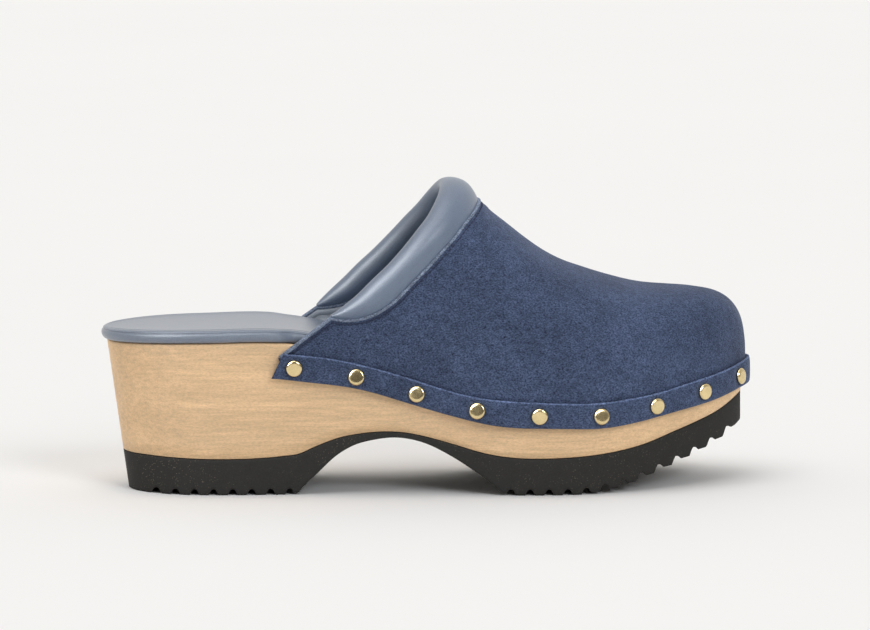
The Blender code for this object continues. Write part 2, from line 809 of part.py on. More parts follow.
def build_rand(group):
    """The suede rand: a flat band over the upper's lower edge, cut on a slant at both ends."""
    angles = rand_angles()
    slant = float(angle_of(RAND_END_HIGH) - angle_of(RAND_END_LOW)) / 2
    span = angles[-1] - angles[0]
    near_start = np.clip(1 - (angles - angles[0]) / (0.08 * span), 0, 1)
    near_end = np.clip(1 - (angles[-1] - angles) / (0.08 * span), 0, 1)
    shear = slant * (near_start - near_end)
    inside = GAP + UPPER_WALL + GAP
    outside = inside + RAND_THICKNESS
    ring = []
    for level, outward in ((-1, inside), (-1, outside), (0, outside), (1, outside), (1, inside), (0, inside)):
        around = angles + level * shear
        height = rand_centre(along_of(around)) + level * RAND_HEIGHT / 2
        ring.append(side_point(around, height, outward))
    rows = np.stack(ring, axis=1)
    mesh = grid_mesh("rand", rows, closed_rows=True, caps=True)
    return new_object("rand", mesh, "suede", group)


def nail_frames():
    """Where each nail goes through the rand, and the way its head faces."""
    ends = [float(angle_of(FIRST_NAIL)), float(angle_of(LAST_NAIL, True))]
    fine = np.linspace(ends[0], ends[1], 4001)
    outward = GAP + UPPER_WALL + GAP + RAND_THICKNESS
    path = side_point(fine, rand_centre(along_of(fine)), outward)
    run = np.concatenate([[0], np.cumsum(np.linalg.norm(np.diff(path, axis=0), axis=1))])
    count = 1 + int(round(run[-1] / NAIL_PITCH))
    frames = []
    for mark in np.linspace(0, run[-1], count):
        angle = float(np.interp(mark, run, fine))
        height = rand_centre(along_of(angle))
        here = side_point(angle, height, outward)
        out = side_point(angle, height, outward + MM) - here
        lean = float(LEAN(along_of(angle)))
        facing = Vector((out[0] / MM, out[1] / MM, -lean)).normalized()
        frames.append((Vector(here), facing))
    return frames


def nail_mesh():
    """Half the outline of a nail, from the top of its flat head to its point, to be turned."""
    profile = (
        (0.0, NAIL_HEAD_HEIGHT),
        (0.78 * NAIL_HEAD_RADIUS, 0.9 * NAIL_HEAD_HEIGHT),
        (NAIL_HEAD_RADIUS, 0.3 * NAIL_HEAD_HEIGHT),
        (NAIL_HEAD_RADIUS, 0.0),
        (NAIL_SHANK_RADIUS, 0.0),
        (NAIL_SHANK_RADIUS, -0.85 * NAIL_SHANK_LENGTH),
        (0.0, -NAIL_SHANK_LENGTH),
    )
    mesh = bpy.data.meshes.new("nail")
    points = [(radius, 0.0, height) for radius, height in profile]
    edges = [(i, i + 1) for i in range(len(points) - 1)]
    mesh.from_pydata(points, edges, [])
    return mesh


def build_nails(group):
    """Flat-headed brass nails, each through rand and upper into the wood."""
    mesh = nail_mesh()
    nails = []
    for number, (place, facing) in enumerate(nail_frames(), start=1):
        nail = new_object(f"nail_{number:02d}", mesh, "brass", group)
        if number == 1:
            mesh.materials.clear()
            mesh.materials.append(bpy.data.materials["brass"])
        else:
            mesh.materials.pop(index=-1)
        nail.location = place + facing * GAP
        nail.rotation_mode = "QUATERNION"
        nail.rotation_quaternion = facing.to_track_quat("Z", "Y")
        turn = nail.modifiers.new("turn", "SCREW")
        turn.steps = NAIL_SIDES
        turn.render_steps = NAIL_SIDES
        turn.use_merge_vertices = True
        turn.merge_threshold = 0.0001
        turn.use_smooth_shade = True
        nails.append(nail)
    return nails


def cut_nail_holes(pieces, cutters):
    """A clearance hole for every nail through each piece that it passes."""
    radius = NAIL_SHANK_RADIUS + NAIL_HOLE_PLAY
    reach = 2 * RAND_THICKNESS
    depth = NAIL_SHANK_LENGTH + NAIL_HOLE_PLAY + reach
    for number, (place, facing) in enumerate(nail_frames(), start=1):
        bpy.ops.mesh.primitive_cylinder_add(vertices=8, radius=radius, depth=depth)
        cutter = bpy.context.object
        cutter.name = f"nail_hole_{number:02d}"
        cutter.location = place + facing * (reach - depth / 2)
        cutter.rotation_mode = "QUATERNION"
        cutter.rotation_quaternion = facing.to_track_quat("Z", "Y")
        cutter.hide_render = True
        cutter.display_type = "WIRE"
        for owner in list(cutter.users_collection):
            owner.objects.unlink(cutter)
        cutters.objects.link(cutter)
    for piece in pieces:
        holes = piece.modifiers.new("nail_holes", "BOOLEAN")
        holes.operation = "DIFFERENCE"
        holes.operand_type = "COLLECTION"
        holes.collection = cutters
        holes.solver = "EXACT"


def centre_on_floor(pieces, cutters):
    """Puts the middle of the whole shoe's footprint at the origin, all pieces by one empty."""
    bpy.context.view_layer.update()
    graph = bpy.context.evaluated_depsgraph_get()
    corners = []
    for piece in pieces:
        seen = piece.evaluated_get(graph)
        corners += [seen.matrix_world @ Vector(corner) for corner in seen.bound_box]
    low = Vector([min(corner[i] for corner in corners) for i in range(3)])
    high = Vector([max(corner[i] for corner in corners) for i in range(3)])
    middle = (low + high) / 2
    stand = bpy.data.objects.new("stand", None)
    bpy.context.scene.collection.objects.link(stand)
    stand.location = (-middle.x, -middle.y, 0.0)
    for thing in list(pieces) + list(cutters.objects):
        thing.parent = stand


def main():
    for thing in list(bpy.data.objects):
        bpy.data.objects.remove(thing, do_unlink=True)
    group = bpy.data.collections.new("clog")
    cutters = bpy.data.collections.new("clog_cutters")
    bpy.context.scene.collection.children.link(group)
    bpy.context.scene.collection.children.link(cutters)
    sole = build_wood_sole(group)
    outsole = build_outsole(group)
    insole = build_insole(group)
    upper = build_upper(group)
    collar = build_collar(group)
    rand = build_rand(group)
    nails = build_nails(group)
    cut_nail_holes([sole, upper, rand], cutters)
    centre_on_floor([sole, outsole, insole, upper, collar, rand] + nails, cutters)


main()
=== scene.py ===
"""Dresses the clog: carved wood, moulded rubber, padded leather, brushed suede and brass nails.

Shapes are worked out in the shoe's own frame, where X runs from the back of the wooden heel to
the toe, Y to the inner side of the foot and Z up, and are then set where the CAD model stands.
A place along the sole is a share of its length, and a place round it is an angle: 0 at the back
of the heel, pi at the toe by way of the outer side, and on to 2 pi by way of the inner side.
"""

import math

import bmesh
import bpy
import numpy as np
from mathutils import Matrix, Vector


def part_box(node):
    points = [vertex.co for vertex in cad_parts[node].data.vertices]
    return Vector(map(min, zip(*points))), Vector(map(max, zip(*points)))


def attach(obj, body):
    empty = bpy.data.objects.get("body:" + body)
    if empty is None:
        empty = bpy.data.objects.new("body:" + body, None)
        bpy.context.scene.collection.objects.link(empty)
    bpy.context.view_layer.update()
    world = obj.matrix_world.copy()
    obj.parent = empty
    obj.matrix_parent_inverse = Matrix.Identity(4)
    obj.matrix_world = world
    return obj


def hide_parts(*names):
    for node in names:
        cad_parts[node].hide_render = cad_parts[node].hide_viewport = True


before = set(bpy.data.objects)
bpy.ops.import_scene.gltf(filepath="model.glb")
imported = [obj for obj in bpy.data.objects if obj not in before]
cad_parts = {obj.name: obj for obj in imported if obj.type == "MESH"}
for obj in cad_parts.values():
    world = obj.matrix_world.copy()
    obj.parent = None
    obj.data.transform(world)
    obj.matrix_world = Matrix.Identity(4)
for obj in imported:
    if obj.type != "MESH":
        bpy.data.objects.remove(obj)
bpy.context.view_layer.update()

bl_info = {
    "name": "Clog",
    "version": (1, 0, 0),
    "blender": (4, 5, 0),
    "location": "View3D > Sidebar > Clog",
    "description": "Builds a wooden clog with a suede upper, piece by piece",
    "category": "Add Mesh",
}

MM = 0.001
BODY = "root"

# Sizes shared with the solids
SOLE_LENGTH = 254.8 * MM
BALL_WIDTH = 93.5 * MM
HEEL_TOP = 60.7 * MM
BALL_TOP = 35.9 * MM
TOE_RISE = 11.7 * MM
FOOTBED_DISH = 2.0 * MM
ARCH_RISE = 9.9 * MM
TOE_SPRING = 20.2 * MM
HEEL_RUBBER = 15.7 * MM
BALL_RUBBER = 14.9 * MM
TREAD_ARCH = 22.7 * MM
TREAD_TOE = 23.0 * MM
TREAD_PITCH = 7.5 * MM
TREAD_SLOT = 3.8 * MM
TREAD_SLOT_FLOOR = 1.2 * MM
TREAD_DEPTH = 2.3 * MM
TREAD_FLATTENING = 0.6
INSOLE_THICKNESS = 5.0 * MM
INSOLE_CROWN = 1.2 * MM
INSOLE_OVERHANG = 2.2 * MM
INSOLE_INSET = 1.1 * MM
INSOLE_ROLL = 1.9 * MM
UPPER_WALL = 1.6 * MM
INSTEP_HEIGHT = 121.1 * MM
TOE_BOX_HEIGHT = 76.9 * MM
RAND_HEIGHT = 9.8 * MM
RAND_THICKNESS = 1.5 * MM
RAND_OVERLAP = 1.0 * MM
COLLAR_ROLL = 4.2 * MM
COLLAR_SHIFT = 0.5 * MM
NAIL_PITCH = 25.0 * MM
NAIL_HEAD_RADIUS = 3.3 * MM
NAIL_HEAD_HEIGHT = 1.2 * MM
GAP = 0.3 * MM
FAN_START = 0.78
FAN_POLE = 0.89
THROAT_FOOT = 0.69
RAND_END_LOW = 0.251
RAND_END_HIGH = 0.269
FIRST_NAIL = 0.2862
LAST_NAIL = 0.3020
QUARTER_END = 0.264
INNER_SIDE_BACK = 0.010
INNER_SIDE_LOW = 0.032
COLLAR_FULL_AT = 0.52

# How many ribs the CAD model's upper has at the quarter, up the seam and round the toe, and the
# shares at which its few quarter ribs stand
CAD_QUARTER_SHARES = (0.0, 0.2, 0.45, 0.72)
CAD_QUARTER_RIBS = len(CAD_QUARTER_SHARES)
CAD_SEAM_RIBS = 12
CAD_TOE_RIBS = 15

# Cross-sections along wooden sole and insole, and the steps of the upper's ribs and border
CROSS_SECTIONS = 181
QUARTER_RIBS = 14
SEAM_RIBS = 64
TOE_RIBS = 64
RIB_ROWS = 64
BORDER_QUARTER_STEPS = 24
BORDER_SEAM_STEPS = 110

# Rise that stands in for the crest where a normal is taken, as the slopes break off there
NEAR_CREST = 0.985

# How far each nail head is turned up, in degrees, from the outer heel end to the toe; the inner
# side's nails follow in reverse
NAIL_TILTS = (0.0, 11.0, 10.5, 10.5, 0.5, 10.5, 0.0, 1.0, 6.0)

# How far from a nail's axis the rand is pulled in
NAIL_PULL = 4.3 * MM

# The picture: its width in pixels, its scale at the shoe, and the camera's aim and turn
PICTURE_WIDTH = 870
PIXELS_PER_MM = 2.5
SENSOR_WIDTH = 36.0
CAMERA_TARGET = (2.4 * MM, 0.0, 67.2 * MM)
CAMERA_ROLL = -0.33

# The sky: the way it is brightest, and its strength at its darkest and brightest
SKY_WAY = (0.0, 0.9, 0.42)
SKY_LEAST = 0.05
SKY_MOST = 0.95

# Each lamp: the way it stands from the shoe, its spread in degrees and its colour
KEY_LAMP = ((-0.2, -0.2, 1.0), 46.0, (0.985, 1.02, 1.075))
FRONT_LAMP = ((0.4, -0.78, 0.48), 24.0, (0.985, 1.02, 1.075))
GLINT_LAMP = ((-0.56, -0.65, 0.52), 38.0, (0.96, 1.0, 1.04))

# Plan outline of the wooden sole's top edge, as shares of BALL_WIDTH either side of the long axis
OUTLINE = (
    # along, outer side, inner side
    (0.00, 0.000, 0.000),
    (0.03, 0.203, 0.200),
    (0.10, 0.315, 0.310),
    (0.20, 0.346, 0.338),
    (0.32, 0.353, 0.322),
    (0.45, 0.388, 0.318),
    (0.55, 0.442, 0.360),
    (0.64, 0.484, 0.442),
    (0.72, 0.489, 0.500),
    (0.80, 0.432, 0.500),
    (0.88, 0.318, 0.436),
    (0.94, 0.194, 0.336),
    (0.98, 0.062, 0.228),
    (1.00, -0.086, 0.086),
)

# How far the sole's side leans inwards on its way down, in metres per metre
SIDE_LEAN = (
    # along, lean
    (0.00, 0.135),
    (0.05, 0.105),
    (0.12, 0.060),
    (0.30, 0.040),
    (0.50, 0.045),
    (0.75, 0.055),
    (0.92, 0.050),
    (1.00, 0.000),
)

# Top edge of the wooden sole
SOLE_TOP = (
    # along, share of heel height over the ball, share of toe rise
    (0.00, 0.965, 0.00),
    (0.06, 0.985, 0.00),
    (0.15, 1.000, 0.00),
    (0.28, 0.984, 0.00),
    (0.34, 0.882, 0.00),
    (0.40, 0.720, 0.00),
    (0.46, 0.516, 0.00),
    (0.52, 0.313, 0.00),
    (0.58, 0.150, 0.00),
    (0.64, 0.050, 0.00),
    (0.70, 0.010, 0.00),
    (0.76, 0.000, 0.02),
    (0.82, 0.000, 0.17),
    (0.88, 0.000, 0.40),
    (0.94, 0.000, 0.64),
    (1.00, 0.000, 1.00),
)

# Underside of the wooden sole
SOLE_UNDER = (
    # along, share of heel rubber, share of arch rise, share of toe spring
    (0.00, 1.0, 0.00, 0.00),
    (0.27, 1.0, 0.00, 0.00),
    (0.29, 1.0, 0.06, 0.00),
    (0.32, 1.0, 0.39, 0.00),
    (0.355, 0.9, 0.73, 0.00),
    (0.39, 0.8, 0.91, 0.00),
    (0.43, 0.6, 1.00, 0.00),
    (0.457, 0.5, 0.97, 0.00),
    (0.49, 0.4, 0.81, 0.00),
    (0.53, 0.2, 0.55, 0.00),
    (0.578, 0.1, 0.20, 0.00),
    (0.62, 0.0, 0.04, 0.00),
    (0.67, 0.0, 0.00, 0.00),
    (0.72, 0.0, 0.00, 0.02),
    (0.776, 0.0, 0.00, 0.08),
    (0.83, 0.0, 0.00, 0.20),
    (0.884, 0.0, 0.00, 0.41),
    (0.92, 0.0, 0.00, 0.55),
    (0.956, 0.0, 0.00, 0.71),
    (1.00, 0.0, 0.00, 1.00),
)

# The outsole's lower line over the arch and under the toe
TREAD_ARCH_LINE = (
    # along, share of tread arch
    (0.2900, 0.00),
    (0.3020, 0.17),
    (0.3200, 0.36),
    (0.3480, 0.66),
    (0.3730, 0.84),
    (0.4080, 0.96),
    (0.4450, 1.00),
    (0.4880, 0.90),
    (0.5240, 0.70),
    (0.5600, 0.44),
    (0.5900, 0.19),
    (0.6080, 0.00),
)
TREAD_TOE_LINE = (
    # along, share of tread toe
    (0.725, 0.00),
    (0.776, 0.07),
    (0.812, 0.16),
    (0.847, 0.29),
    (0.884, 0.43),
    (0.920, 0.58),
    (0.956, 0.74),
    (1.000, 1.00),
)

# Crest of the last over the long axis
CREST = (
    # along, share of instep height, share of toe box height, inner shift
    (0.26, 0.985, 0.000, 0.000),
    (0.35, 1.000, 0.000, 0.000),
    (0.43, 1.016, 0.000, 0.000),
    (0.49, 1.010, 0.000, 0.000),
    (0.533, 0.990, 0.000, 0.000),
    (0.557, 0.970, 0.000, 0.002),
    (0.582, 0.938, 0.000, 0.006),
    (0.600, 0.905, 0.000, 0.010),
    (0.627, 0.860, 0.000, 0.018),
    (0.657, 0.809, 0.000, 0.027),
    (0.687, 0.764, 0.000, 0.036),
    (0.717, 0.730, 0.000, 0.045),
    (0.747, 0.706, 0.000, 0.053),
    (0.792, 0.342, 0.523, 0.065),
    (0.837, 0.000, 1.021, 0.075),
    (0.890, 0.000, 1.000, 0.084),
)

# Fullness of the upper's cross-section
FULLNESS = (
    # along, exponent
    (0.25, 2.3),
    (0.60, 2.2),
    (0.80, 2.5),
    (1.00, 3.1),
)

# Centre line of the rand below the sole's top edge, in shares of RAND_HEIGHT
RAND_DROP = (
    # along, drop
    (0.25, 0.93),
    (0.292, 0.93),
    (0.3875, 0.77),
    (0.485, 0.66),
    (0.576, 0.60),
    (0.67, 0.45),
    (0.77, 0.46),
    (0.858, 0.46),
    (0.9345, 0.43),
    (1.00, 0.45),
)

# The seam between suede and collar, and the collar's free edge, from the quarter's corner up
SEAM = (
    # step, along, rise
    (0.00, 0.3440, 0.107),
    (0.10, 0.3650, 0.109),
    (0.20, 0.3890, 0.125),
    (0.30, 0.4160, 0.160),
    (0.40, 0.4435, 0.219),
    (0.52, 0.4720, 0.301),
    (0.68, 0.5130, 0.434),
    (0.80, 0.5460, 0.574),
    (0.90, 0.5730, 0.764),
    (1.00, 0.5840, 1.000),
)
FREE_EDGE = (
    # step, along, rise
    (0.00, 0.3440, 0.120),
    (0.10, 0.3540, 0.140),
    (0.20, 0.3690, 0.175),
    (0.30, 0.3870, 0.220),
    (0.40, 0.4070, 0.278),
    (0.52, 0.4360, 0.362),
    (0.68, 0.4770, 0.516),
    (0.80, 0.5025, 0.650),
    (0.90, 0.5180, 0.810),
    (1.00, 0.5230, 1.000),
)
TAPER = (
    # step, share of the full roll
    (0.00, 0.34),
    (0.10, 0.62),
    (0.24, 0.92),
    (0.40, 1.00),
    (1.00, 1.00),
)


def smooth_curve(places, values):
    """A curve through the rows: cubics whose slope at a row is its neighbours' weighted mean."""
    places = np.asarray(places, float)
    values = np.asarray(values, float)
    steps = np.diff(places)
    rises = np.diff(values) / steps
    slopes = np.empty_like(values)
    slopes[1:-1] = (rises[:-1] * steps[1:] + rises[1:] * steps[:-1]) / (steps[:-1] + steps[1:])
    slopes[0] = rises[0]
    slopes[-1] = rises[-1]

    def curve(place):
        place = np.clip(place, places[0], places[-1])
        row = np.clip(np.searchsorted(places, place, side="right") - 1, 0, len(steps) - 1)
        width = steps[row]
        t = (place - places[row]) / width
        start = values[row] * (1 + 2 * t) * (1 - t) ** 2 + slopes[row] * width * t * (1 - t) ** 2
        end = values[row + 1] * t * t * (3 - 2 * t) + slopes[row + 1] * width * t * t * (t - 1)
        return start + end

    return curve


def column_curve(table, column):
    """The curve of one column of a table over its first column."""
    return smooth_curve([row[0] for row in table], [row[column] for row in table])


def angle_of(along, inner=False):
    """The angle round the sole of a place along it."""
    angle = np.arccos(1 - 2 * np.asarray(along, float))
    return 2 * math.pi - angle if inner else angle


def along_of(angle):
    """The place along the sole of an angle round it."""
    return (1 - np.cos(angle)) / 2


def closed_outline():
    """Sideways place of the sole's top edge over the angle round it, as one closed curve."""
    outer = [(float(angle_of(row[0])), -row[1] * BALL_WIDTH) for row in OUTLINE]
    inner = [(float(angle_of(row[0], True)), row[2] * BALL_WIDTH) for row in OUTLINE[-2::-1]]
    rows = outer + inner
    before = [(angle - 2 * math.pi, side) for angle, side in rows[-4:-1]]
    after = [(angle + 2 * math.pi, side) for angle, side in rows[1:4]]
    rows = before + rows + after
    return smooth_curve([row[0] for row in rows], [row[1] for row in rows])


OUTLINE_SIDE = closed_outline()
LEAN = column_curve(SIDE_LEAN, 1)
TOP_HEEL = column_curve(SOLE_TOP, 1)
TOP_TOE = column_curve(SOLE_TOP, 2)
UNDER_HEEL = column_curve(SOLE_UNDER, 1)
UNDER_ARCH = column_curve(SOLE_UNDER, 2)
UNDER_TOE = column_curve(SOLE_UNDER, 3)
TREAD_ARCH_SHARE = column_curve(TREAD_ARCH_LINE, 1)
TREAD_TOE_SHARE = column_curve(TREAD_TOE_LINE, 1)
CREST_INSTEP = column_curve(CREST, 1)
CREST_TOE = column_curve(CREST, 2)
CREST_SHIFT = column_curve(CREST, 3)
SECTION_FULLNESS = column_curve(FULLNESS, 1)
DROP = column_curve(RAND_DROP, 1)
COLLAR_TAPER = column_curve(TAPER, 1)


def sole_top(along):
    """Height of the wooden sole's top edge."""
    return BALL_TOP + (HEEL_TOP - BALL_TOP) * TOP_HEEL(along) + TOE_RISE * TOP_TOE(along)


def sole_under(along):
    """Height of the wooden sole's underside."""
    rubber = BALL_RUBBER + (HEEL_RUBBER - BALL_RUBBER) * UNDER_HEEL(along)
    return rubber + ARCH_RISE * UNDER_ARCH(along) + TOE_SPRING * UNDER_TOE(along)


def tread_line(along):
    """Height of the outsole's underside, its slots left out."""
    along = np.asarray(along, float)
    in_arch = (along > TREAD_ARCH_LINE[0][0]) & (along < TREAD_ARCH_LINE[-1][0])
    in_toe = along > TREAD_TOE_LINE[0][0]
    arch = np.where(in_arch, TREAD_ARCH * TREAD_ARCH_SHARE(along), 0.0)
    return arch + np.where(in_toe, TREAD_TOE * TREAD_TOE_SHARE(along), 0.0)


def edge_point(angle, outward=0.0):
    """Plan place on the sole's top edge, moved outwards along the edge's own normal."""
    angle = np.asarray(angle, float)
    step = 1e-4
    ahead = np.stack([SOLE_LENGTH * along_of(angle + step), OUTLINE_SIDE(angle + step)], -1)
    behind = np.stack([SOLE_LENGTH * along_of(angle - step), OUTLINE_SIDE(angle - step)], -1)
    tangent = ahead - behind
    tangent /= np.linalg.norm(tangent, axis=-1, keepdims=True)
    normal = np.stack([tangent[..., 1], -tangent[..., 0]], -1)
    here = np.stack([SOLE_LENGTH * along_of(angle), OUTLINE_SIDE(angle)], -1)
    return here + normal * np.asarray(outward, float)[..., None]


def side_point(angle, height, outward=0.0):
    """A point on the sole's leaning side at a height, moved outwards."""
    angle, height, outward = np.broadcast_arrays(
        np.asarray(angle, float), np.asarray(height, float), np.asarray(outward, float)
    )
    along = along_of(angle)
    plan = edge_point(angle, outward - LEAN(along) * (sole_top(along) - height))
    return np.concatenate([plan, height[..., None]], -1)


def rib_foot_x(along):
    """Where a rib meets the crest: straight across on the instep, fanned out in the toe box."""
    along = np.asarray(along, float)
    share = np.clip((along - FAN_START) / (1 - FAN_START), 0, 1)
    return np.minimum(along, FAN_START) + (FAN_POLE - FAN_START) * (2 * share - share**2)


def crest_point(along):
    """A point on the crest of the last."""
    foot = rib_foot_x(along)
    height = INSTEP_HEIGHT * CREST_INSTEP(foot) + TOE_BOX_HEIGHT * CREST_TOE(foot)
    return np.stack([SOLE_LENGTH * foot, BALL_WIDTH * CREST_SHIFT(foot), height], -1)


def rand_centre(along):
    """Height of the rand's centre line."""
    return sole_top(along) - RAND_HEIGHT * DROP(along)


def last_point(angle, rise):
    """A point on the upper's outer surface. Above the sole's top edge a rib is a quarter of a
    superellipse up to the crest, and rise is its angle as a share. Below, rise runs from 0 down
    to -1 at the rand's lower edge, straight down the side of the sole."""
    angle, rise = np.broadcast_arrays(np.asarray(angle, float), np.asarray(rise, float))
    along = along_of(angle)
    top = sole_top(along)
    outward = GAP + UPPER_WALL
    low = rand_centre(along) - RAND_HEIGHT / 2 + RAND_OVERLAP
    below = side_point(angle, top + np.minimum(rise, 0) * (top - low), outward)
    crest = crest_point(along)
    fullness = SECTION_FULLNESS(along)
    turn = np.clip(rise, 0, 1) * math.pi / 2
    inwards = 1 - np.abs(np.cos(turn)) ** (2 / fullness)
    upwards = np.sin(turn) ** (2 / fullness)
    plan = below[..., :2] + (crest[..., :2] - below[..., :2]) * inwards[..., None]
    height = below[..., 2] + (crest[..., 2] - top) * upwards
    return np.concatenate([plan, height[..., None]], -1)


def unit(vectors):
    """Vectors made one unit long."""
    return vectors / np.maximum(np.linalg.norm(vectors, axis=-1, keepdims=True), 1e-12)


def last_normal(angle, rise):
    """Outward normal of the last, from the slopes round it and up it."""
    step = 1e-3
    around = last_point(angle + step, rise) - last_point(angle - step, rise)
    upward = last_point(angle, rise + step) - last_point(angle, rise - step)
    return unit(np.cross(around, upward))


def seam_place(table, step, inner):
    """Place along and rise of a throat line at a step from the quarter's corner to the instep.
    On the inner side the line runs a little further back, and its corner sits lower."""
    step = np.asarray(step, float)
    mirrored = [(2 - row[0], row[1], 2 - row[2]) for row in table[-2::-1]]
    rows = list(table) + mirrored
    along = column_curve(rows, 1)(step)
    rise = column_curve(rows, 2)(step)
    if inner:
        along = along - INNER_SIDE_BACK * (1 - step**4)
        rise = rise - INNER_SIDE_LOW * (1 - step) ** 4
    return along, rise


def even_marks(path, count):
    """Shares of a path's parameter that cut it into pieces of equal length."""
    run = run_along(path)
    return np.interp(np.linspace(0, run[-1], count + 1), run, np.linspace(0, 1, len(path)))


def run_along(path):
    """Length run along a path at each of its points."""
    return np.concatenate([[0], np.cumsum(np.linalg.norm(np.diff(path, axis=0), axis=1))])


def ripple(points, lengths, seed):
    """A slow wander between -1 and 1 over space: three sine waves in unlike directions."""
    turns = np.random.default_rng(seed).uniform(0, 2 * math.pi, 3)
    ways = np.array([[0.8, 0.5, 0.33], [-0.42, 0.77, 0.48], [0.36, -0.52, 0.78]])
    waves = points @ ways.T * (2 * math.pi) / np.asarray(lengths) + turns
    return np.sin(waves).mean(-1)


def frame_shift():
    """From the shoe's own frame to the CAD model's: the wood's back and outer side say it."""
    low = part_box("wood_sole")[0]
    quarter, seam = quarter_feet(CAD_QUARTER_RIBS), throat_feet(CAD_SEAM_RIBS)
    angles = angle_of(np.concatenate([quarter, seam, toe_feet(CAD_TOE_RIBS)[1:]]))
    side = side_point(angles, sole_top(along_of(angles)))[:, 1].min()
    return np.array([low[0], low[1] - side, 0.0])


def quarter_feet(count):
    """Places where the ribs of the quarter stand, behind its corner: even steps apart, or at the
    CAD model's own shares where they are as many as there."""
    few = count == CAD_QUARTER_RIBS
    shares = np.array(CAD_QUARTER_SHARES) if few else np.arange(count) / count
    return QUARTER_END + (SEAM[0][1] - QUARTER_END) * shares


def throat_feet(count):
    """Places where the ribs that end at the seam stand, a little closer together at its foot."""
    shares = np.linspace(0, 1, count + 1) ** 1.15
    return SEAM[0][1] + (THROAT_FOOT - SEAM[0][1]) * shares


def toe_feet(count):
    """Places where the ribs that end on the crest stand, even steps apart round the toe."""
    angles = np.linspace(angle_of(THROAT_FOOT), math.pi, 400)
    marks = even_marks(side_point(angles, BALL_TOP), count)
    return along_of(angles[0] + (math.pi - angles[0]) * marks)


SHIFT = frame_shift()


def grid_faces(count, width, closed):
    """Corner numbers of the quads of a grid, its rows closed into rings or left open."""
    across = np.arange(width if closed else width - 1)
    i, j = np.meshgrid(np.arange(count - 1), across, indexing="ij")
    k = (j + 1) % width
    quads = np.stack([i * width + j, i * width + k, (i + 1) * width + k, (i + 1) * width + j], -1)
    return quads.reshape(-1, 4)


def add_piece(name, parts, materials, weld=0.01 * MM):
    """Makes one object of several grids, each (points, closed rings, end caps) and, where it
    isn't the first, the number of its material. What falls together is welded, and the faces
    turn outwards. It rides on the shoe's one body."""
    points, faces, finishes = [], [], []
    start = 0
    for rows, closed, caps, *finish in parts:
        count, width = rows.shape[:2]
        points.append(rows.reshape(-1, 3) + SHIFT)
        before = len(faces)
        faces += (grid_faces(count, width, closed) + start).tolist()
        if caps:
            faces.append(list(range(start, start + width)))
            faces.append(list(range(start + (count - 1) * width, start + count * width))[::-1])
        start += count * width
        finishes += [finish[0] if finish else 0] * (len(faces) - before)
    mesh = bpy.data.meshes.new(name)
    mesh.from_pydata(np.concatenate(points).tolist(), [], faces)
    mesh.polygons.foreach_set("material_index", finishes)
    shape = bmesh.new()
    shape.from_mesh(mesh)
    bmesh.ops.remove_doubles(shape, verts=shape.verts, dist=weld)
    bmesh.ops.recalc_face_normals(shape, faces=shape.faces)
    shape.to_mesh(mesh)
    shape.free()
    mesh.shade_smooth()
    for material in materials:
        mesh.materials.append(material)
    piece = bpy.data.objects.new(name, mesh)
    bpy.context.scene.collection.objects.link(piece)
    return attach(piece, BODY)


def node(tree, kind, inputs=None, **settings):
    """Adds a shader node. An input is a plain value, or another node's output to link."""
    made = tree.nodes.new(kind)
    for key, value in settings.items():
        setattr(made, key, value)
    for key, value in (inputs or {}).items():
        if isinstance(value, bpy.types.NodeSocket):
            tree.links.new(value, made.inputs[key])
        else:
            made.inputs[key].default_value = value
    return made


def noise(tree, vector, scale, detail=2.0, roughness=0.5, distortion=0.0):
    """The value of a noise texture, which wanders round a half."""
    inputs = {
        "Vector": vector,
        "Scale": scale,
        "Detail": detail,
        "Roughness": roughness,
        "Distortion": distortion,
    }
    return node(tree, "ShaderNodeTexNoise", inputs).outputs["Fac"]


def remap(tree, value, given=(0.0, 1.0), wanted=(0.0, 1.0)):
    """A value carried from its given range to the wanted one, and held inside it."""
    inputs = {
        "Value": value,
        "From Min": given[0],
        "From Max": given[1],
        "To Min": wanted[0],
        "To Max": wanted[1],
    }
    return node(tree, "ShaderNodeMapRange", inputs).outputs["Result"]


def maths(tree, operation, *values, clamp=False):
    """The result of a sum on plain values and other nodes' outputs."""
    inputs = dict(enumerate(values))
    made = node(tree, "ShaderNodeMath", inputs, operation=operation, use_clamp=clamp)
    return made.outputs[0]


def turned(tree, place, rotation, scale):
    """Coordinates turned and stretched, for a finish that has a direction."""
    inputs = {"Vector": place, "Rotation": rotation, "Scale": scale}
    return node(tree, "ShaderNodeMapping", inputs).outputs[0]


def tint(tree, mask, low, high):
    """Colour that goes from low to high with a mask, or stands at one share between them."""
    return node(tree, "ShaderNodeMix", {0: mask, 6: low, 7: high}, data_type="RGBA").outputs[2]


def scaled(tree, colour, factor):
    """A colour made lighter or darker by another node's output."""
    inputs = {0: colour, "Scale": factor}
    return node(tree, "ShaderNodeVectorMath", inputs, operation="SCALE").outputs[0]


def shade(colour, factor):
    """A plain colour made lighter or darker."""
    return tuple(min(1.0, channel * factor) for channel in colour[:3]) + (1.0,)


def group_sockets(tree, inputs, outputs):
    """Gives a node group its named inputs, with their defaults, and its named outputs."""
    for name, kind, default in inputs:
        socket = tree.interface.new_socket(name=name, in_out="INPUT", socket_type=kind)
        if default is not None:
            socket.default_value = default
    for name, kind in outputs:
        tree.interface.new_socket(name=name, in_out="OUTPUT", socket_type=kind)
    return tree.nodes.new("NodeGroupInput"), tree.nodes.new("NodeGroupOutput")


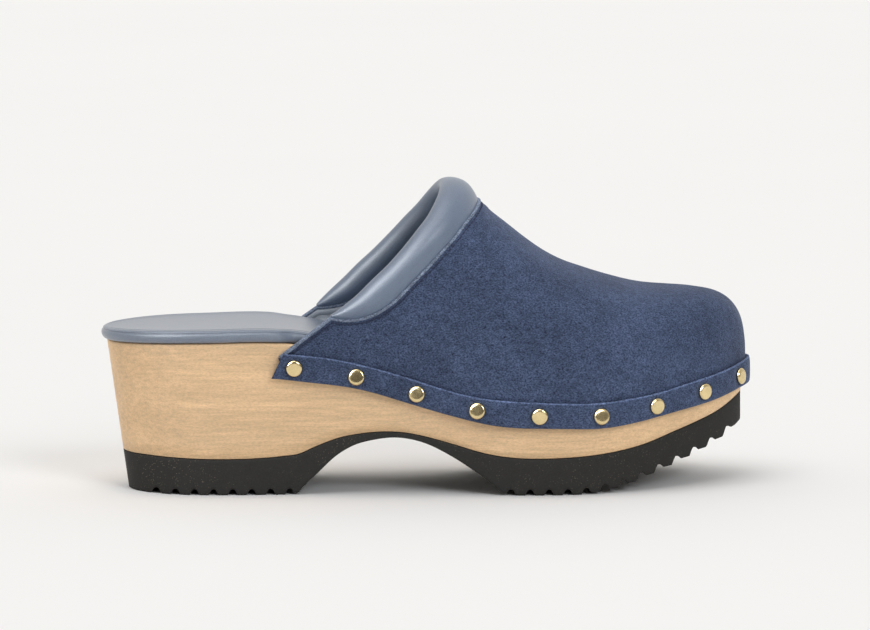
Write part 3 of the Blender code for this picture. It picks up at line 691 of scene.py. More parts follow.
def blotch_group():
    """Slow unevenness of a finish: two layers of noise, one broad and one small, in one mask."""
    if "blotches" in bpy.data.node_groups:
        return bpy.data.node_groups["blotches"]
    tree = bpy.data.node_groups.new("blotches", "ShaderNodeTree")
    wanted = (
        ("Vector", "NodeSocketVector", None),
        ("Broad Scale", "NodeSocketFloat", 35.0),
        ("Small Scale", "NodeSocketFloat", 180.0),
        ("Small Share", "NodeSocketFloat", 0.35),
        ("Contrast", "NodeSocketFloat", 2.0),
    )
    given, out = group_sockets(tree, wanted, (("Mask", "NodeSocketFloat"),))
    vector = given.outputs["Vector"]
    broad = noise(tree, vector, given.outputs["Broad Scale"], 3.0)
    small = noise(tree, vector, given.outputs["Small Scale"], 4.0)
    inputs = {0: given.outputs["Small Share"], 2: broad, 3: small}
    mixed = node(tree, "ShaderNodeMix", inputs, data_type="FLOAT").outputs[0]
    centred = maths(tree, "SUBTRACT", mixed, 0.5)
    mask = maths(tree, "MULTIPLY_ADD", centred, given.outputs["Contrast"], 0.5, clamp=True)
    tree.links.new(mask, out.inputs["Mask"])
    return tree


def blotch_mask(tree, place, broad, small, share, contrast=2.0):
    """Mask of a finish's unevenness, from the blotch group at the finish's own scales."""
    inputs = {
        "Vector": place,
        "Broad Scale": broad,
        "Small Scale": small,
        "Small Share": share,
        "Contrast": contrast,
    }
    return node(tree, "ShaderNodeGroup", inputs, node_tree=blotch_group()).outputs["Mask"]


def pebble_group():
    """Leather's close grain: small cells, each a low dome with a crease round it, broken up by
    finer noise. Puts out a height and a crease mask."""
    if "leather_grain" in bpy.data.node_groups:
        return bpy.data.node_groups["leather_grain"]
    tree = bpy.data.node_groups.new("leather_grain", "ShaderNodeTree")
    wanted = (("Vector", "NodeSocketVector", None), ("Scale", "NodeSocketFloat", 1500.0))
    outputs = (("Height", "NodeSocketFloat"), ("Crease", "NodeSocketFloat"))
    given, out = group_sockets(tree, wanted, outputs)
    inputs = {"Vector": given.outputs["Vector"], "Scale": given.outputs["Scale"]}
    cells = node(tree, "ShaderNodeTexVoronoi", inputs, feature="DISTANCE_TO_EDGE")
    crease = remap(tree, cells.outputs["Distance"], (0.0, 0.18))
    fine = noise(tree, given.outputs["Vector"], 3800.0)
    height = maths(tree, "MULTIPLY_ADD", fine, 0.45, crease)
    tree.links.new(height, out.inputs["Height"])
    tree.links.new(crease, out.inputs["Crease"])
    return tree


def new_material(name, roughness, **sockets):
    """A material with an empty Principled BSDF, and the object coordinates beside it. Values
    that are the same all over go straight onto the shader's sockets."""
    material = bpy.data.materials.new(name)
    material.use_nodes = True
    tree = material.node_tree
    shader = tree.nodes["Principled BSDF"]
    shader.inputs["Roughness"].default_value = roughness
    for socket, value in sockets.items():
        shader.inputs[socket.replace("_", " ")].default_value = value
    place = node(tree, "ShaderNodeTexCoord").outputs["Object"]
    return material, tree, shader, place


def add_bump(tree, shader, height, strength, depth):
    """Feeds a bump of a height, so strong and so deep, to the shader's normal."""
    bump = node(tree, "ShaderNodeBump", {"Height": height, "Strength": strength, "Distance": depth})
    tree.links.new(bump.outputs[0], shader.inputs["Normal"])


def suede_material(name, colour, blotch, nap):
    """Brushed suede: blotches where the nap lies another way, a short fuzzy pile that lightens
    towards grazing light, and a fine uneven bump."""
    material, tree, shader, place = new_material(
        name,
        0.95,
        Sheen_Weight=0.32,
        Sheen_Roughness=0.38,
        Sheen_Tint=(0.62, 0.68, 0.82, 1.0),
        Specular_IOR_Level=0.05,
    )
    mask = blotch_mask(tree, place, 22.0, 90.0, 0.35, 2.6)
    brushed = turned(tree, place, (0.0, 0.6, 0.0), (0.75, 1.0, 1.0))
    pile = noise(tree, brushed, 1900.0, 4.0, 0.7)
    tufts = noise(tree, brushed, 420.0, 3.0, 0.6)
    base = tint(tree, mask, shade(colour, 1 - blotch), shade(colour, 1 + blotch))
    speck = remap(tree, pile, (0.30, 0.72), (0.22, 2.05))
    tuft = remap(tree, tufts, (0.3, 0.7), (0.80, 1.20))
    napped = scaled(tree, base, maths(tree, "MULTIPLY", speck, tuft))
    tree.links.new(napped, shader.inputs["Base Color"])
    height = maths(tree, "MULTIPLY_ADD", tufts, 0.8, pile)
    add_bump(tree, shader, height, nap, 0.45 * MM)
    return material


def leather_material(name, colour, roughness, grain):
    """Smooth corrected leather: a fine pebble grain, painted shade in its creases, and a gloss that
    wanders from place to place."""
    material, tree, shader, place = new_material(
        name, roughness, Specular_IOR_Level=0.8, Coat_Weight=0.45, Coat_Roughness=0.34
    )
    mask = blotch_mask(tree, place, 26.0, 150.0, 0.3)
    inputs = {"Vector": place, "Scale": 1500.0}
    pebble = node(tree, "ShaderNodeGroup", inputs, node_tree=pebble_group())
    base = tint(tree, mask, shade(colour, 0.90), shade(colour, 1.10))
    # Painted shade: the grain's creases darken the base colour to 0.8
    crease = tint(tree, pebble.outputs["Crease"], (0.8, 0.8, 0.8, 1.0), (1.0, 1.0, 1.0, 1.0))
    inputs = {0: 1.0, 6: base, 7: crease}
    crease_shaded = node(tree, "ShaderNodeMix", inputs, data_type="RGBA", blend_type="MULTIPLY")
    tree.links.new(crease_shaded.outputs[2], shader.inputs["Base Color"])
    gloss = remap(tree, mask, wanted=(roughness - 0.05, roughness + 0.07))
    tree.links.new(gloss, shader.inputs["Roughness"])
    add_bump(tree, shader, pebble.outputs["Height"], grain, 0.1 * MM)
    return material


def wood_material(name, colour, grain_depth):
    """Pale close-grained wood: growth bands along the sole, fine streaks, short pores, and a
    thin satin finish."""
    material, tree, shader, place = new_material(
        name, 0.52, Specular_IOR_Level=0.42, Coat_Weight=0.05, Coat_Roughness=0.5
    )
    grain_way = (0.06, 0.03, 0.05)
    drawn = turned(tree, place, grain_way, (0.05, 0.6, 1.0))
    dashes = turned(tree, place, grain_way, (0.38, 1.0, 1.0))
    bands = remap(tree, noise(tree, drawn, 95.0, 3.0, distortion=0.6), (0.32, 0.68))
    streaks = noise(tree, drawn, 900.0, 4.0, 0.6)
    pores = remap(tree, noise(tree, dashes, 2300.0, 3.0, 0.6), (0.40, 0.74))
    mask = blotch_mask(tree, place, 16.0, 60.0, 0.3)
    base = tint(tree, bands, shade(colour, 0.86), shade(colour, 1.06))
    redder = (colour[0] * 0.98, colour[1] * 0.86, colour[2] * 0.76, 1.0)
    warmed = tint(tree, maths(tree, "MULTIPLY", mask, 0.30), base, redder)
    streak = remap(tree, streaks, (0.3, 0.7), (0.86, 1.09))
    dark = maths(tree, "MULTIPLY_ADD", pores, -0.22, 1.08)
    grained = scaled(tree, warmed, maths(tree, "MULTIPLY", streak, dark))
    tree.links.new(grained, shader.inputs["Base Color"])
    gloss = remap(tree, streaks, wanted=(0.44, 0.62))
    tree.links.new(gloss, shader.inputs["Roughness"])
    height = maths(tree, "MULTIPLY_ADD", pores, -0.6, streaks)
    add_bump(tree, shader, height, grain_depth, 0.12 * MM)
    return material


def rubber_material(name, colour, dust):
    """Matte moulded rubber with a fine speckle and a trace of pale dust."""
    material, tree, shader, place = new_material(name, 0.7, Specular_IOR_Level=0.12)
    mask = blotch_mask(tree, place, 40.0, 260.0, 0.5)
    grains = noise(tree, place, 1900.0, 3.0, 0.7)
    inputs = {"Vector": place, "Scale": 1100.0}
    specks = node(tree, "ShaderNodeTexVoronoi", inputs, feature="F1").outputs["Distance"]
    bright = remap(tree, specks, (0.24, 0.08))
    thin = remap(tree, mask, (0.42, 0.85))
    share = maths(tree, "MULTIPLY", maths(tree, "MULTIPLY", bright, thin), dust)
    mottled = tint(tree, mask, shade(colour, 0.86), shade(colour, 1.22))
    speckled = tint(tree, grains, shade(colour, 0.25), shade(colour, 2.1))
    base = tint(tree, 0.5, mottled, speckled)
    dusted = tint(tree, share, base, (0.42, 0.33, 0.22, 1.0))
    tree.links.new(dusted, shader.inputs["Base Color"])
    gloss = remap(tree, grains, wanted=(0.58, 0.80))
    tree.links.new(gloss, shader.inputs["Roughness"])
    add_bump(tree, shader, grains, 0.35, 0.2 * MM)
    return material


def brass_material(name, colour):
    """Polished brass with faint scratches and a little tarnish."""
    material, tree, shader, place = new_material(name, 0.24, Metallic=1.0)
    mask = blotch_mask(tree, place, 160.0, 900.0, 0.4)
    base = tint(tree, mask, shade(colour, 0.78), shade(colour, 1.12))
    tree.links.new(base, shader.inputs["Base Color"])
    gloss = remap(tree, mask, wanted=(0.12, 0.22))
    tree.links.new(gloss, shader.inputs["Roughness"])
    add_bump(tree, shader, noise(tree, place, 2600.0), 0.06, 0.1 * MM)
    return material


def thread_material(name, colour):
    """Dark sewing thread, lighter and darker from stitch to stitch."""
    material, tree, shader, place = new_material(name, 0.6, Specular_IOR_Level=0.3)
    mask = blotch_mask(tree, place, 200.0, 2500.0, 0.6)
    base = tint(tree, mask, shade(colour, 0.7), shade(colour, 1.5))
    tree.links.new(base, shader.inputs["Base Color"])
    return material


def floor_material(name, colour):
    """Plain pale studio floor, with the faintest unevenness."""
    material, tree, shader, place = new_material(name, 0.9, Specular_IOR_Level=0.0)
    mask = blotch_mask(tree, place, 1.5, 9.0, 0.2)
    base = tint(tree, mask, shade(colour, 0.985), shade(colour, 1.0))
    tree.links.new(base, shader.inputs["Base Color"])
    return material


def colour_property(name, description, default):
    """A colour that a user can change."""
    return bpy.props.FloatVectorProperty(
        name=name,
        description=description,
        default=default,
        subtype="COLOR",
        min=0.0,
        max=1.0,
        size=3,
    )


def length_property(name, description, default):
    """A length in metres that a user can change."""
    return bpy.props.FloatProperty(
        name=name, description=description, default=default, unit="LENGTH", min=0.0
    )


def share_property(name, description, default):
    """A share from 0 to 1 that a user can change."""
    return bpy.props.FloatProperty(
        name=name, description=description, default=default, min=0.0, max=1.0
    )


def turn_property(name, description, degrees):
    """An angle that a user can change, its default given in degrees."""
    return bpy.props.FloatProperty(
        name=name, description=description, default=math.radians(degrees), unit="ROTATION"
    )


def strength_property(name, description, default):
    """A lamp's strength that a user can change."""
    return bpy.props.FloatProperty(name=name, description=description, default=default, min=0.0)


class SoleSettings(bpy.types.PropertyGroup):
    """The wooden sole and its rubber outsole."""

    wood: colour_property("Wood", "Colour of the carved wood", (0.85, 0.590, 0.338))
    rubber: colour_property("Rubber", "Colour of the outsole", (0.030, 0.029, 0.027))
    rim_radius: length_property("Rim Radius", "Rounding of the wood's top edge", 1.0 * MM)
    grain_depth: share_property("Grain Depth", "Strength of the wood's grain", 0.25)
    dust: share_property("Dust", "How dusty the rubber looks", 0.55)


class SuedeSettings(bpy.types.PropertyGroup):
    """The suede of upper and rand, and its stitching."""

    colour: colour_property("Suede", "Colour of the suede", (0.059, 0.080, 0.142))
    fold: colour_property("Fold", "Colour of the folded edge along the seam", (0.190, 0.230, 0.310))
    thread: colour_property("Thread", "Colour of the sewing thread", (0.020, 0.030, 0.070))
    blotch: share_property("Blotch", "How uneven the nap's colour is", 0.22)
    nap: share_property("Nap", "Strength of the nap's bump", 0.55)
    # The bead of this thickness is the cut edge; its pale colour is a painted highlight
    cut_edge: length_property("Cut Edge", "Thickness of the rand's pale cut edge", 0.8 * MM)
    fold_width: length_property("Fold Width", "Width of the folded edge", 1.6 * MM)
    seam_offset: length_property("Seam Offset", "From the upper's border to the stitches", 1.7 * MM)
    hem: length_property("Hem", "Width of the turned hem beside the seam", 5.2 * MM)
    stitch_length: length_property("Stitch Length", "Length of one stitch", 2.0 * MM)
    stitch_pitch: length_property("Stitch Pitch", "Distance from stitch to stitch", 2.4 * MM)


class LeatherSettings(bpy.types.PropertyGroup):
    """The smooth leather of collar, insole and lining."""

    collar: colour_property("Collar", "Colour of the collar", (0.140, 0.190, 0.280))
    insole: colour_property("Insole", "Colour of the insole", (0.175, 0.216, 0.290))
    lining: colour_property("Lining", "Colour of the lining", (0.430, 0.475, 0.540))
    roughness: share_property("Roughness", "How matte the leather is", 0.36)


class NailSettings(bpy.types.PropertyGroup):
    """The brass nails."""

    colour: colour_property("Brass", "Colour of the nail heads", (0.82, 0.66, 0.36))
    dimple: length_property("Dimple", "How deep a nail pulls the rand in", 0.7 * MM)
    sides: bpy.props.IntProperty(
        name="Sides", description="Sides of a turned head", default=36, min=8, max=96
    )


class StudioSettings(bpy.types.PropertyGroup):
    """Floor, lights and camera."""

    floor: colour_property("Floor", "Colour of the studio floor", (0.900, 0.892, 0.880))
    azimuth: turn_property("Azimuth", "Camera's turn round the shoe", -4.0)
    elevation: turn_property("Elevation", "Camera's height over the floor", 6.5)
    distance: length_property("Distance", "Camera's distance from the shoe", 2.35)
    key: strength_property("Key", "Strength of the light from overhead", 0.85)
    front: strength_property("Front", "Strength of the light from beside the camera", 0.95)
    glint: strength_property("Glint", "Strength of the highlight on the leather", 3.8)


def build_wood_sole(settings):
    """The carved sole. Each ring runs up the outer side, round the rim on a quarter circle,
    over the dished footbed, and down the inner side; rings close to a line at heel and toe."""
    angles = np.linspace(0, math.pi, CROSS_SECTIONS)
    along = along_of(angles)
    low, top = sole_under(along), sole_top(along)
    radius = settings.rim_radius * np.clip(np.sin(angles) * 6, 0.05, 1)
    turns = np.linspace(0, math.pi / 2, 5)
    levels = np.linspace(0, 1, 9)

    def side(around):
        rise = [side_point(around, low + (top - radius - low) * level) for level in levels]
        rim = []
        for turn in turns[1:]:
            height = top - radius * (1 - math.sin(turn))
            rim.append(side_point(around, height, -radius * (1 - math.cos(turn))))
        return rise + rim

    outer, inner = side(angles), side(2 * math.pi - angles)
    shares = np.linspace(-0.97, 0.97, 25)
    footbed = across_footbed(outer[-1], inner[-1], shares, 0.0, 0.0)
    ring = outer + footbed + inner[::-1]
    return add_piece("wood_sole_carved", [(np.stack(ring, 1), True, False)], [
        wood_material("sole_wood", settings.wood, settings.grain_depth)
    ])


def across_footbed(outer, inner, shares, lift, crown):
    """Rows of points across the dished footbed: a parabola between its two edges, shallower
    where the sole is narrow."""
    middle, half = (outer + inner) / 2, (inner - outer) / 2
    narrow = np.clip(np.linalg.norm(half[:, :2], axis=-1) / (0.3 * BALL_WIDTH), 0, 1)
    rows = []
    for share in shares:
        plan = middle[:, :2] + half[:, :2] * share
        dish = narrow * (1 - share * share)
        height = sole_top(plan[:, 0] / SOLE_LENGTH) + lift + (crown - FOOTBED_DISH) * dish
        rows.append(np.concatenate([plan, height[:, None]], -1))
    return rows


def tread_fields(reach):
    """The slots of heel and forefoot: first centre, the way they go on, and how many."""
    half = TREAD_SLOT / 2
    heel_first = TREAD_ARCH_LINE[0][0] * SOLE_LENGTH - 0.4 * TREAD_PITCH
    toe_first = TREAD_ARCH_LINE[-1][0] * SOLE_LENGTH + 0.4 * TREAD_PITCH
    heel_room = heel_first - half - (float(reach[0]) + MM)
    toe_room = float(reach[-1]) - 1.5 * MM - (toe_first + half)
    return (
        (heel_first, -1, 1 + int(heel_room / TREAD_PITCH)),
        (toe_first, 1, 1 + int(toe_room / TREAD_PITCH)),
    )


def build_outsole(settings):
    """The moulded outsole. Its lower line has a slot every pitch: a smooth scoop as deep as the
    tread, between teeth that lie flatter than the line, so that they step up under the toe."""
    fine = np.linspace(0, 1, 4001)

    def bottom_x(along):
        outer = side_point(angle_of(along), tread_line(along))
        inner = side_point(2 * math.pi - angle_of(along), tread_line(along))
        return (outer[..., 0] + inner[..., 0]) / 2

    reach = bottom_x(fine)
    x = np.linspace(reach[0], reach[-1], 520)
    low = tread_line(np.interp(x, reach, fine))
    for first, way, count in tread_fields(reach):
        steps = (x - first) * way / TREAD_PITCH
        slot = np.round(steps)
        inside = (steps > -0.5) & (steps < count - 0.5)
        aside = np.abs(steps - slot) * TREAD_PITCH
        fall = (TREAD_SLOT / 2 - aside) / (TREAD_SLOT / 2 - TREAD_SLOT_FLOOR / 2)
        scoop = np.clip(fall, 0, 1) ** 0.8
        middle = first + way * (np.floor(steps) + 0.5) * TREAD_PITCH
        flat = tread_line(np.interp(middle, reach, fine))
        tooth = low + (flat - low) * TREAD_FLATTENING
        centre = tread_line(np.interp(first + way * slot * TREAD_PITCH, reach, fine))
        cut = tooth + (centre + TREAD_DEPTH - tooth) * scoop
        low = np.where(inside, cut, low)
    along = np.interp(x, reach, fine)
    angles = angle_of(along)
    angles[0], angles[-1] = 0.0, math.pi
    high = sole_under(along_of(angles)) - GAP
    high = np.maximum(high, low + MM)
    side_rows = (
        # share of the side's height, millimetres that its rounded edges stand back
        (0.0, 0.45),
        (0.02, 0.2),
        (0.06, 0.05),
        (0.15, 0.0),
        (0.3, 0.0),
        (0.5, 0.0),
        (0.7, 0.0),
        (0.85, 0.0),
        (0.94, 0.0),
        (0.985, 0.12),
        (1.0, 0.4),
    )
    ease = np.clip(np.sin(angles) * 8, 0, 1)

    def side(around):
        rows = []
        for level, inset in side_rows:
            height = low + (high - low) * level
            rows.append(side_point(around, height, -inset * MM * ease))
        return rows

    outer, inner = side(angles), side(2 * math.pi - angles)
    under = [outer[0] + (inner[0] - outer[0]) * share for share in np.linspace(0, 1, 11)[1:-1]]
    ring = outer + inner[::-1] + under[::-1]
    return add_piece("outsole_moulded", [(np.stack(ring, 1), True, False)], [
        rubber_material("outsole_rubber", settings.rubber, settings.dust)
    ])


def insole_outward(along):
    """How far the insole's edge stands out past the sole's top edge."""
    inside = np.clip((np.asarray(along, float) - 0.258) / 0.030, 0, 1)
    ease = inside * inside * (3 - 2 * inside)
    return INSOLE_OVERHANG * (1 - ease) - INSOLE_INSET * ease


def build_insole(settings):
    """The padded insole. Its edge is a half-round roll with a fine seam round its upper part. Its
    top swells just inside the edge, is creased by a groove and dips towards the middle
    of the footbed."""
    angles = np.linspace(0, math.pi, CROSS_SECTIONS)
    edge = insole_outward(along_of(angles))
    turns = np.linspace(-math.pi / 2, math.pi / 2, 33)
    seam_depth, seam_turn, seam_spread = 0.45 * MM, 0.62, 0.12
    seam = seam_depth * np.exp(-(((turns - seam_turn) / seam_spread) ** 2))

    def rolled(around):
        rows = []
        for turn, crease in zip(turns, seam):
            inset = INSOLE_ROLL * (1 - math.cos(turn)) + crease
            share = 0.49 + 0.49 * math.sin(turn)
            plan = edge_point(around, edge - inset)
            height = sole_top(plan[:, 0] / SOLE_LENGTH) + GAP + share * INSOLE_THICKNESS
            rows.append(np.concatenate([plan, height[:, None]], -1))
        return rows

    outer, inner = rolled(angles), rolled(2 * math.pi - angles)
    shares = 0.985 * np.sin(np.linspace(-math.pi / 2, math.pi / 2, 89))
    lift = GAP + 0.98 * INSOLE_THICKNESS
    above = across_footbed(outer[-1], inner[-1], shares, lift, INSOLE_CROWN)
    swell = 0.25 * MM * np.clip(np.sin(angles) * 4, 0, 1)
    groove = 2.6 * swell
    softness = 0.10 * MM
    for share, row in zip(shares, above):
        row[:, 2] += swell * np.exp(-(((abs(share) - 0.9) / 0.07) ** 2))
        row[:, 2] -= groove * np.exp(-(((abs(share) - 0.925) / 0.014) ** 2))
        row[:, 2] += softness * ripple(row, (0.06, 0.045, 0.08), 4) * (1 - share * share)
    below = across_footbed(outer[0], inner[0], np.linspace(-0.8, 0.8, 5), GAP, 0.0)
    ring = outer + above + inner[::-1] + below[::-1]
    piece = add_piece("insole_padded", [(np.stack(ring, 1), True, False)], [
        leather_material("insole_leather", settings.insole, settings.roughness, 0.35)
    ])
    return piece


def quarter_places(inner, count):
    """Angle and rise of the quarter's slanting back edge, from its lower end to its corner."""
    corner, corner_rise = seam_place(SEAM, 0.0, inner)
    shares = np.arange(count) / count
    corner_height = last_point(angle_of(corner, inner), corner_rise)[2]
    end_height = rand_centre(QUARTER_END) + 0.35 * RAND_HEIGHT
    angles, rises = [], []
    for share in shares:
        angle = float(angle_of(QUARTER_END + (corner - QUARTER_END) * share, inner))
        fine = np.linspace(-1, 0.4, 1401)
        levels = last_point(np.full_like(fine, angle), fine)[:, 2]
        height = end_height + (corner_height - end_height) * share
        angles.append(angle)
        rises.append(float(np.interp(height, levels, fine)))
    return np.array(angles), np.array(rises)


def seam_places(inner, count):
    """Angle and rise along the seam, in even steps from the corner to the top."""
    fine = np.linspace(0, 1, 800)
    along, rise = seam_place(SEAM, fine, inner)
    steps = even_marks(last_point(angle_of(along, inner), rise), count)
    along, rise = seam_place(SEAM, steps, inner)
    return angle_of(along, inner), np.minimum(rise, 1.0)


def upper_border():
    """The upper's whole top border, from the outer quarter's end over the throat to the inner
    quarter's end: points, outward normals, and the way into the suede."""
    angles, rises = [], []
    for inner in (False, True):
        quarter_angles, quarter_rises = quarter_places(inner, BORDER_QUARTER_STEPS)
        seam_angles, seam_rises = seam_places(inner, BORDER_SEAM_STEPS)
        side_angles = np.concatenate([quarter_angles, seam_angles])
        side_rises = np.concatenate([quarter_rises, seam_rises])
        if inner:
            side_angles, side_rises = side_angles[-2::-1], side_rises[-2::-1]
        angles.append(side_angles)
        rises.append(side_rises)
    angles, rises = np.concatenate(angles), np.concatenate(rises)
    points = last_point(angles, rises)
    normals = last_normal(angles, np.minimum(rises, NEAR_CREST))
    inwards = unit(np.cross(unit(np.gradient(points, axis=0)), normals))
    return points, normals, inwards


def upper_ribs():
    """The upper's ribs, from the outer quarter round the toe to the inner quarter: each one's
    angle at its foot, its angle at its head and the rise of its head."""
    ribs = []
    for inner in (False, True):
        quarter_angles, quarter_rises = quarter_places(inner, QUARTER_RIBS)
        quarter_foot = angle_of(quarter_feet(QUARTER_RIBS), inner)
        seam_angles, seam_rises = seam_places(inner, SEAM_RIBS)
        seam_foot = angle_of(throat_feet(SEAM_RIBS), inner)
        toe_foot = angle_of(toe_feet(TOE_RIBS), inner)[1:]
        fine = np.linspace(angle_of(SEAM[-1][1]), math.pi, 800)
        marks = even_marks(crest_point(along_of(fine)), TOE_RIBS)
        toe_head = fine[0] + (math.pi - fine[0]) * marks[1:]
        if inner:
            toe_head = 2 * math.pi - toe_head
        foot = np.concatenate([quarter_foot, seam_foot, toe_foot])
        head = np.concatenate([quarter_angles, seam_angles, toe_head])
        rise = np.concatenate([quarter_rises, seam_rises, np.ones(TOE_RIBS)])
        side = np.stack([foot, head, rise], -1)
        ribs.append(side[-2::-1] if inner else side)
    return np.concatenate(ribs).T


def distance_to(points, targets, batch=2000):
    """Distance from each point to the nearest of the targets, a batch of points at a time."""
    flat = points.reshape(-1, 3)
    distance = np.empty(len(flat))
    for start in range(0, len(flat), batch):
        apart = flat[start : start + batch, None] - targets[None]
        distance[start : start + batch] = np.sqrt((apart**2).sum(-1)).min(1)
    return distance.reshape(points.shape[:-1])


def build_upper(settings, leather):
    """The suede upper: ribs that sweep up over the last, cut off at the throat and the quarter's
    back edge. Beside the border the surface is raised as a turned hem, a step that eases off on
    a logistic curve, and sinks in a bell-shaped groove under the stitches. A lining is inside."""
    foot, head, rise = upper_ribs()
    fine = np.linspace(0, 1, 200)
    lift = -1 + (rise[:, None] + 1) * fine
    sweep = np.clip(lift / rise[:, None], 0, 1)
    path = last_point(foot[:, None] + (head - foot)[:, None] * sweep, lift)
    run = np.cumsum(np.linalg.norm(np.diff(path, axis=1), axis=-1), axis=1)
    run = np.concatenate([np.zeros((len(run), 1)), run], 1)
    marks = np.linspace(0, 1, RIB_ROWS + 1)
    spread = np.stack([np.interp(marks * r[-1], r, f) for r, f in zip(run, lift)])
    sweep = np.clip(spread / rise[:, None], 0, 1)
    angle = foot[:, None] + (head - foot)[:, None] * sweep
    points = last_point(angle, spread)
    normals = last_normal(angle, np.minimum(spread, NEAR_CREST))
    distance = distance_to(points, upper_border()[0])
    hem_height, hem_slope = 0.36 * MM, 0.35 * MM
    hem = hem_height / (1 + np.exp((distance - settings.hem) / hem_slope))
    groove_depth, groove_width = 0.70 * MM, 0.70 * MM
    groove = groove_depth * np.exp(-(((distance - settings.seam_offset) / groove_width) ** 2))
    above_rand = np.clip(spread * 6, 0, 1)
    wander = 0.22 * MM * ripple(points, (0.085, 0.06, 0.11), 7) * above_rand
    points = points + normals * (hem - groove + wander)[..., None]
    piece = add_piece("upper_suede", [(points, False, False)], [
        suede_material("suede", settings.colour, settings.blotch, settings.nap),
        leather_material("lining_leather", leather.lining, leather.roughness + 0.12, 0.3),
    ])
    wall = piece.modifiers.new("wall", "SOLIDIFY")
    wall.thickness = UPPER_WALL
    wall.offset = -1
    wall.material_offset = 1
    return piece


def swept(points, normals, across, profile):
    """A profile carried along a path: each profile point is so far across and so far out."""
    rows = [points + across * a + normals * b for a, b in profile]
    return np.stack(rows, 1)


def build_seam_fold(settings):
    """The folded edge of suede and leather along throat and quarter: a bead whose section is an
    upright ellipse, wrapped round the wall's own edge, so that it shows inside as well."""
    points, normals, inwards = upper_border()
    half = settings.fold_width / 2
    deep = UPPER_WALL / 2 + 0.8 * MM
    turns = np.linspace(0, 2 * math.pi, 16, endpoint=False)
    profile = [
        (0.1 * MM + half * math.cos(turn), deep * math.sin(turn) - UPPER_WALL / 2)
        for turn in turns
    ]
    rows = swept(points, normals, inwards, profile)
    return add_piece("seam_fold", [(rows, True, True)], [
        suede_material("folded_edge", settings.fold, 0.12, 0.4)
    ])


def build_stitching(settings):
    """One row of stitches beside the fold: each is a short spindle that dips into the suede at
    both ends, half a turn of a sine out of it between them."""
    points, normals, inwards = upper_border()
    path = points + inwards * settings.seam_offset
    run = run_along(path)
    count = int(run[-1] / settings.stitch_pitch)
    starts = (np.arange(count) + 0.5) * run[-1] / count
    turns = np.linspace(0, 2 * math.pi, 7)[:-1]
    steps = np.linspace(0, 1, 7)
    thread_radius, arch, sunk = 0.36 * MM, 0.18 * MM, 0.24 * MM
    parts = []
    for start in starts:
        mark = start + (steps - 0.5) * settings.stitch_length

        def at(values, mark=mark):
            return np.stack([np.interp(mark, run, values[:, i]) for i in range(3)], -1)

        centre, out, side = at(path), unit(at(normals)), unit(at(inwards))
        bulge = np.sin(steps * math.pi)
        radius = thread_radius * (0.35 + 0.65 * bulge)
        ring = []
        for turn in turns:
            aside = radius * math.cos(turn)
            high = radius * math.sin(turn) + arch * bulge - sunk
            ring.append(centre + side * aside[:, None] + out * high[:, None])
        parts.append((np.stack(ring, 1), True, True))
    return add_piece("stitching", parts, [thread_material("thread", settings.thread)])


def build_collar(settings):
    """The padded collar: between seam and free edge it follows the last, and its section swells
    on a sine from the wall's thickness to a full roll, then closes on a half ellipse."""
    count = 120
    room = 1 - COLLAR_FULL_AT
    rising = np.linspace(0, COLLAR_FULL_AT, 15)
    closing = np.linspace(COLLAR_FULL_AT, 1, 14)[1:]
    closing = COLLAR_FULL_AT + room * np.sin((closing - COLLAR_FULL_AT) / room * math.pi / 2)
    marks = np.concatenate([rising, closing])
    fine = np.linspace(0, 1, 800)
    sections = []
    for inner in (False, True):
        along, rise = seam_place(SEAM, fine, inner)
        steps = even_marks(last_point(angle_of(along, inner), rise), count)
        seam_along, seam_rise = seam_place(SEAM, steps, inner)
        edge_along, edge_rise = seam_place(FREE_EDGE, steps, inner)
        ends = last_point(angle_of(seam_along, inner), seam_rise)
        ends = ends - last_point(angle_of(edge_along, inner), edge_rise)
        first = GAP / np.linalg.norm(ends, axis=-1)
        share = first[:, None] + (1 - first)[:, None] * marks
        along = seam_along[:, None] + (edge_along - seam_along)[:, None] * share
        rise = seam_rise[:, None] + (edge_rise - seam_rise)[:, None] * share
        here = last_point(angle_of(along, inner), np.minimum(rise, 1.0))
        normal = unit(np.cross(np.gradient(here, axis=0), np.gradient(here, axis=1)))
        middle = crest_point(seam_along)
        core = np.stack([middle[:, 0], middle[:, 1], sole_top(seam_along) + 10 * MM], -1)
        facing = np.sign(((here - core[:, None]) * normal).sum(-1, keepdims=True))
        normal = normal * facing
        roll = COLLAR_ROLL * COLLAR_TAPER(steps)
        swell = np.sin(np.minimum(marks / COLLAR_FULL_AT, 1.0) * math.pi / 2)
        half = UPPER_WALL / 2 + (roll[:, None] - UPPER_WALL / 2) * swell
        beyond = np.clip((marks - COLLAR_FULL_AT) / room, 0, 1)
        half = half * np.sqrt(np.maximum(0.0, 1 - beyond**2))
        centre = -UPPER_WALL / 2 + (UPPER_WALL / 2 - COLLAR_SHIFT) * swell
        soft = 0.12 * MM * ripple(here, (0.03, 0.022, 0.05), 11) * swell
        outside = here + normal * (centre + half + soft)[..., None]
        inside = here + normal * (centre - half)[..., None]
        section = np.concatenate([outside, inside[:, -2::-1]], 1)
        sections.append(section[-2::-1] if inner else section)
    rows = np.concatenate(sections)
    piece = add_piece("collar_roll", [(rows, True, True)], [
        leather_material("collar_leather", settings.collar, settings.roughness + 0.08, 0.3)
    ])
    return piece


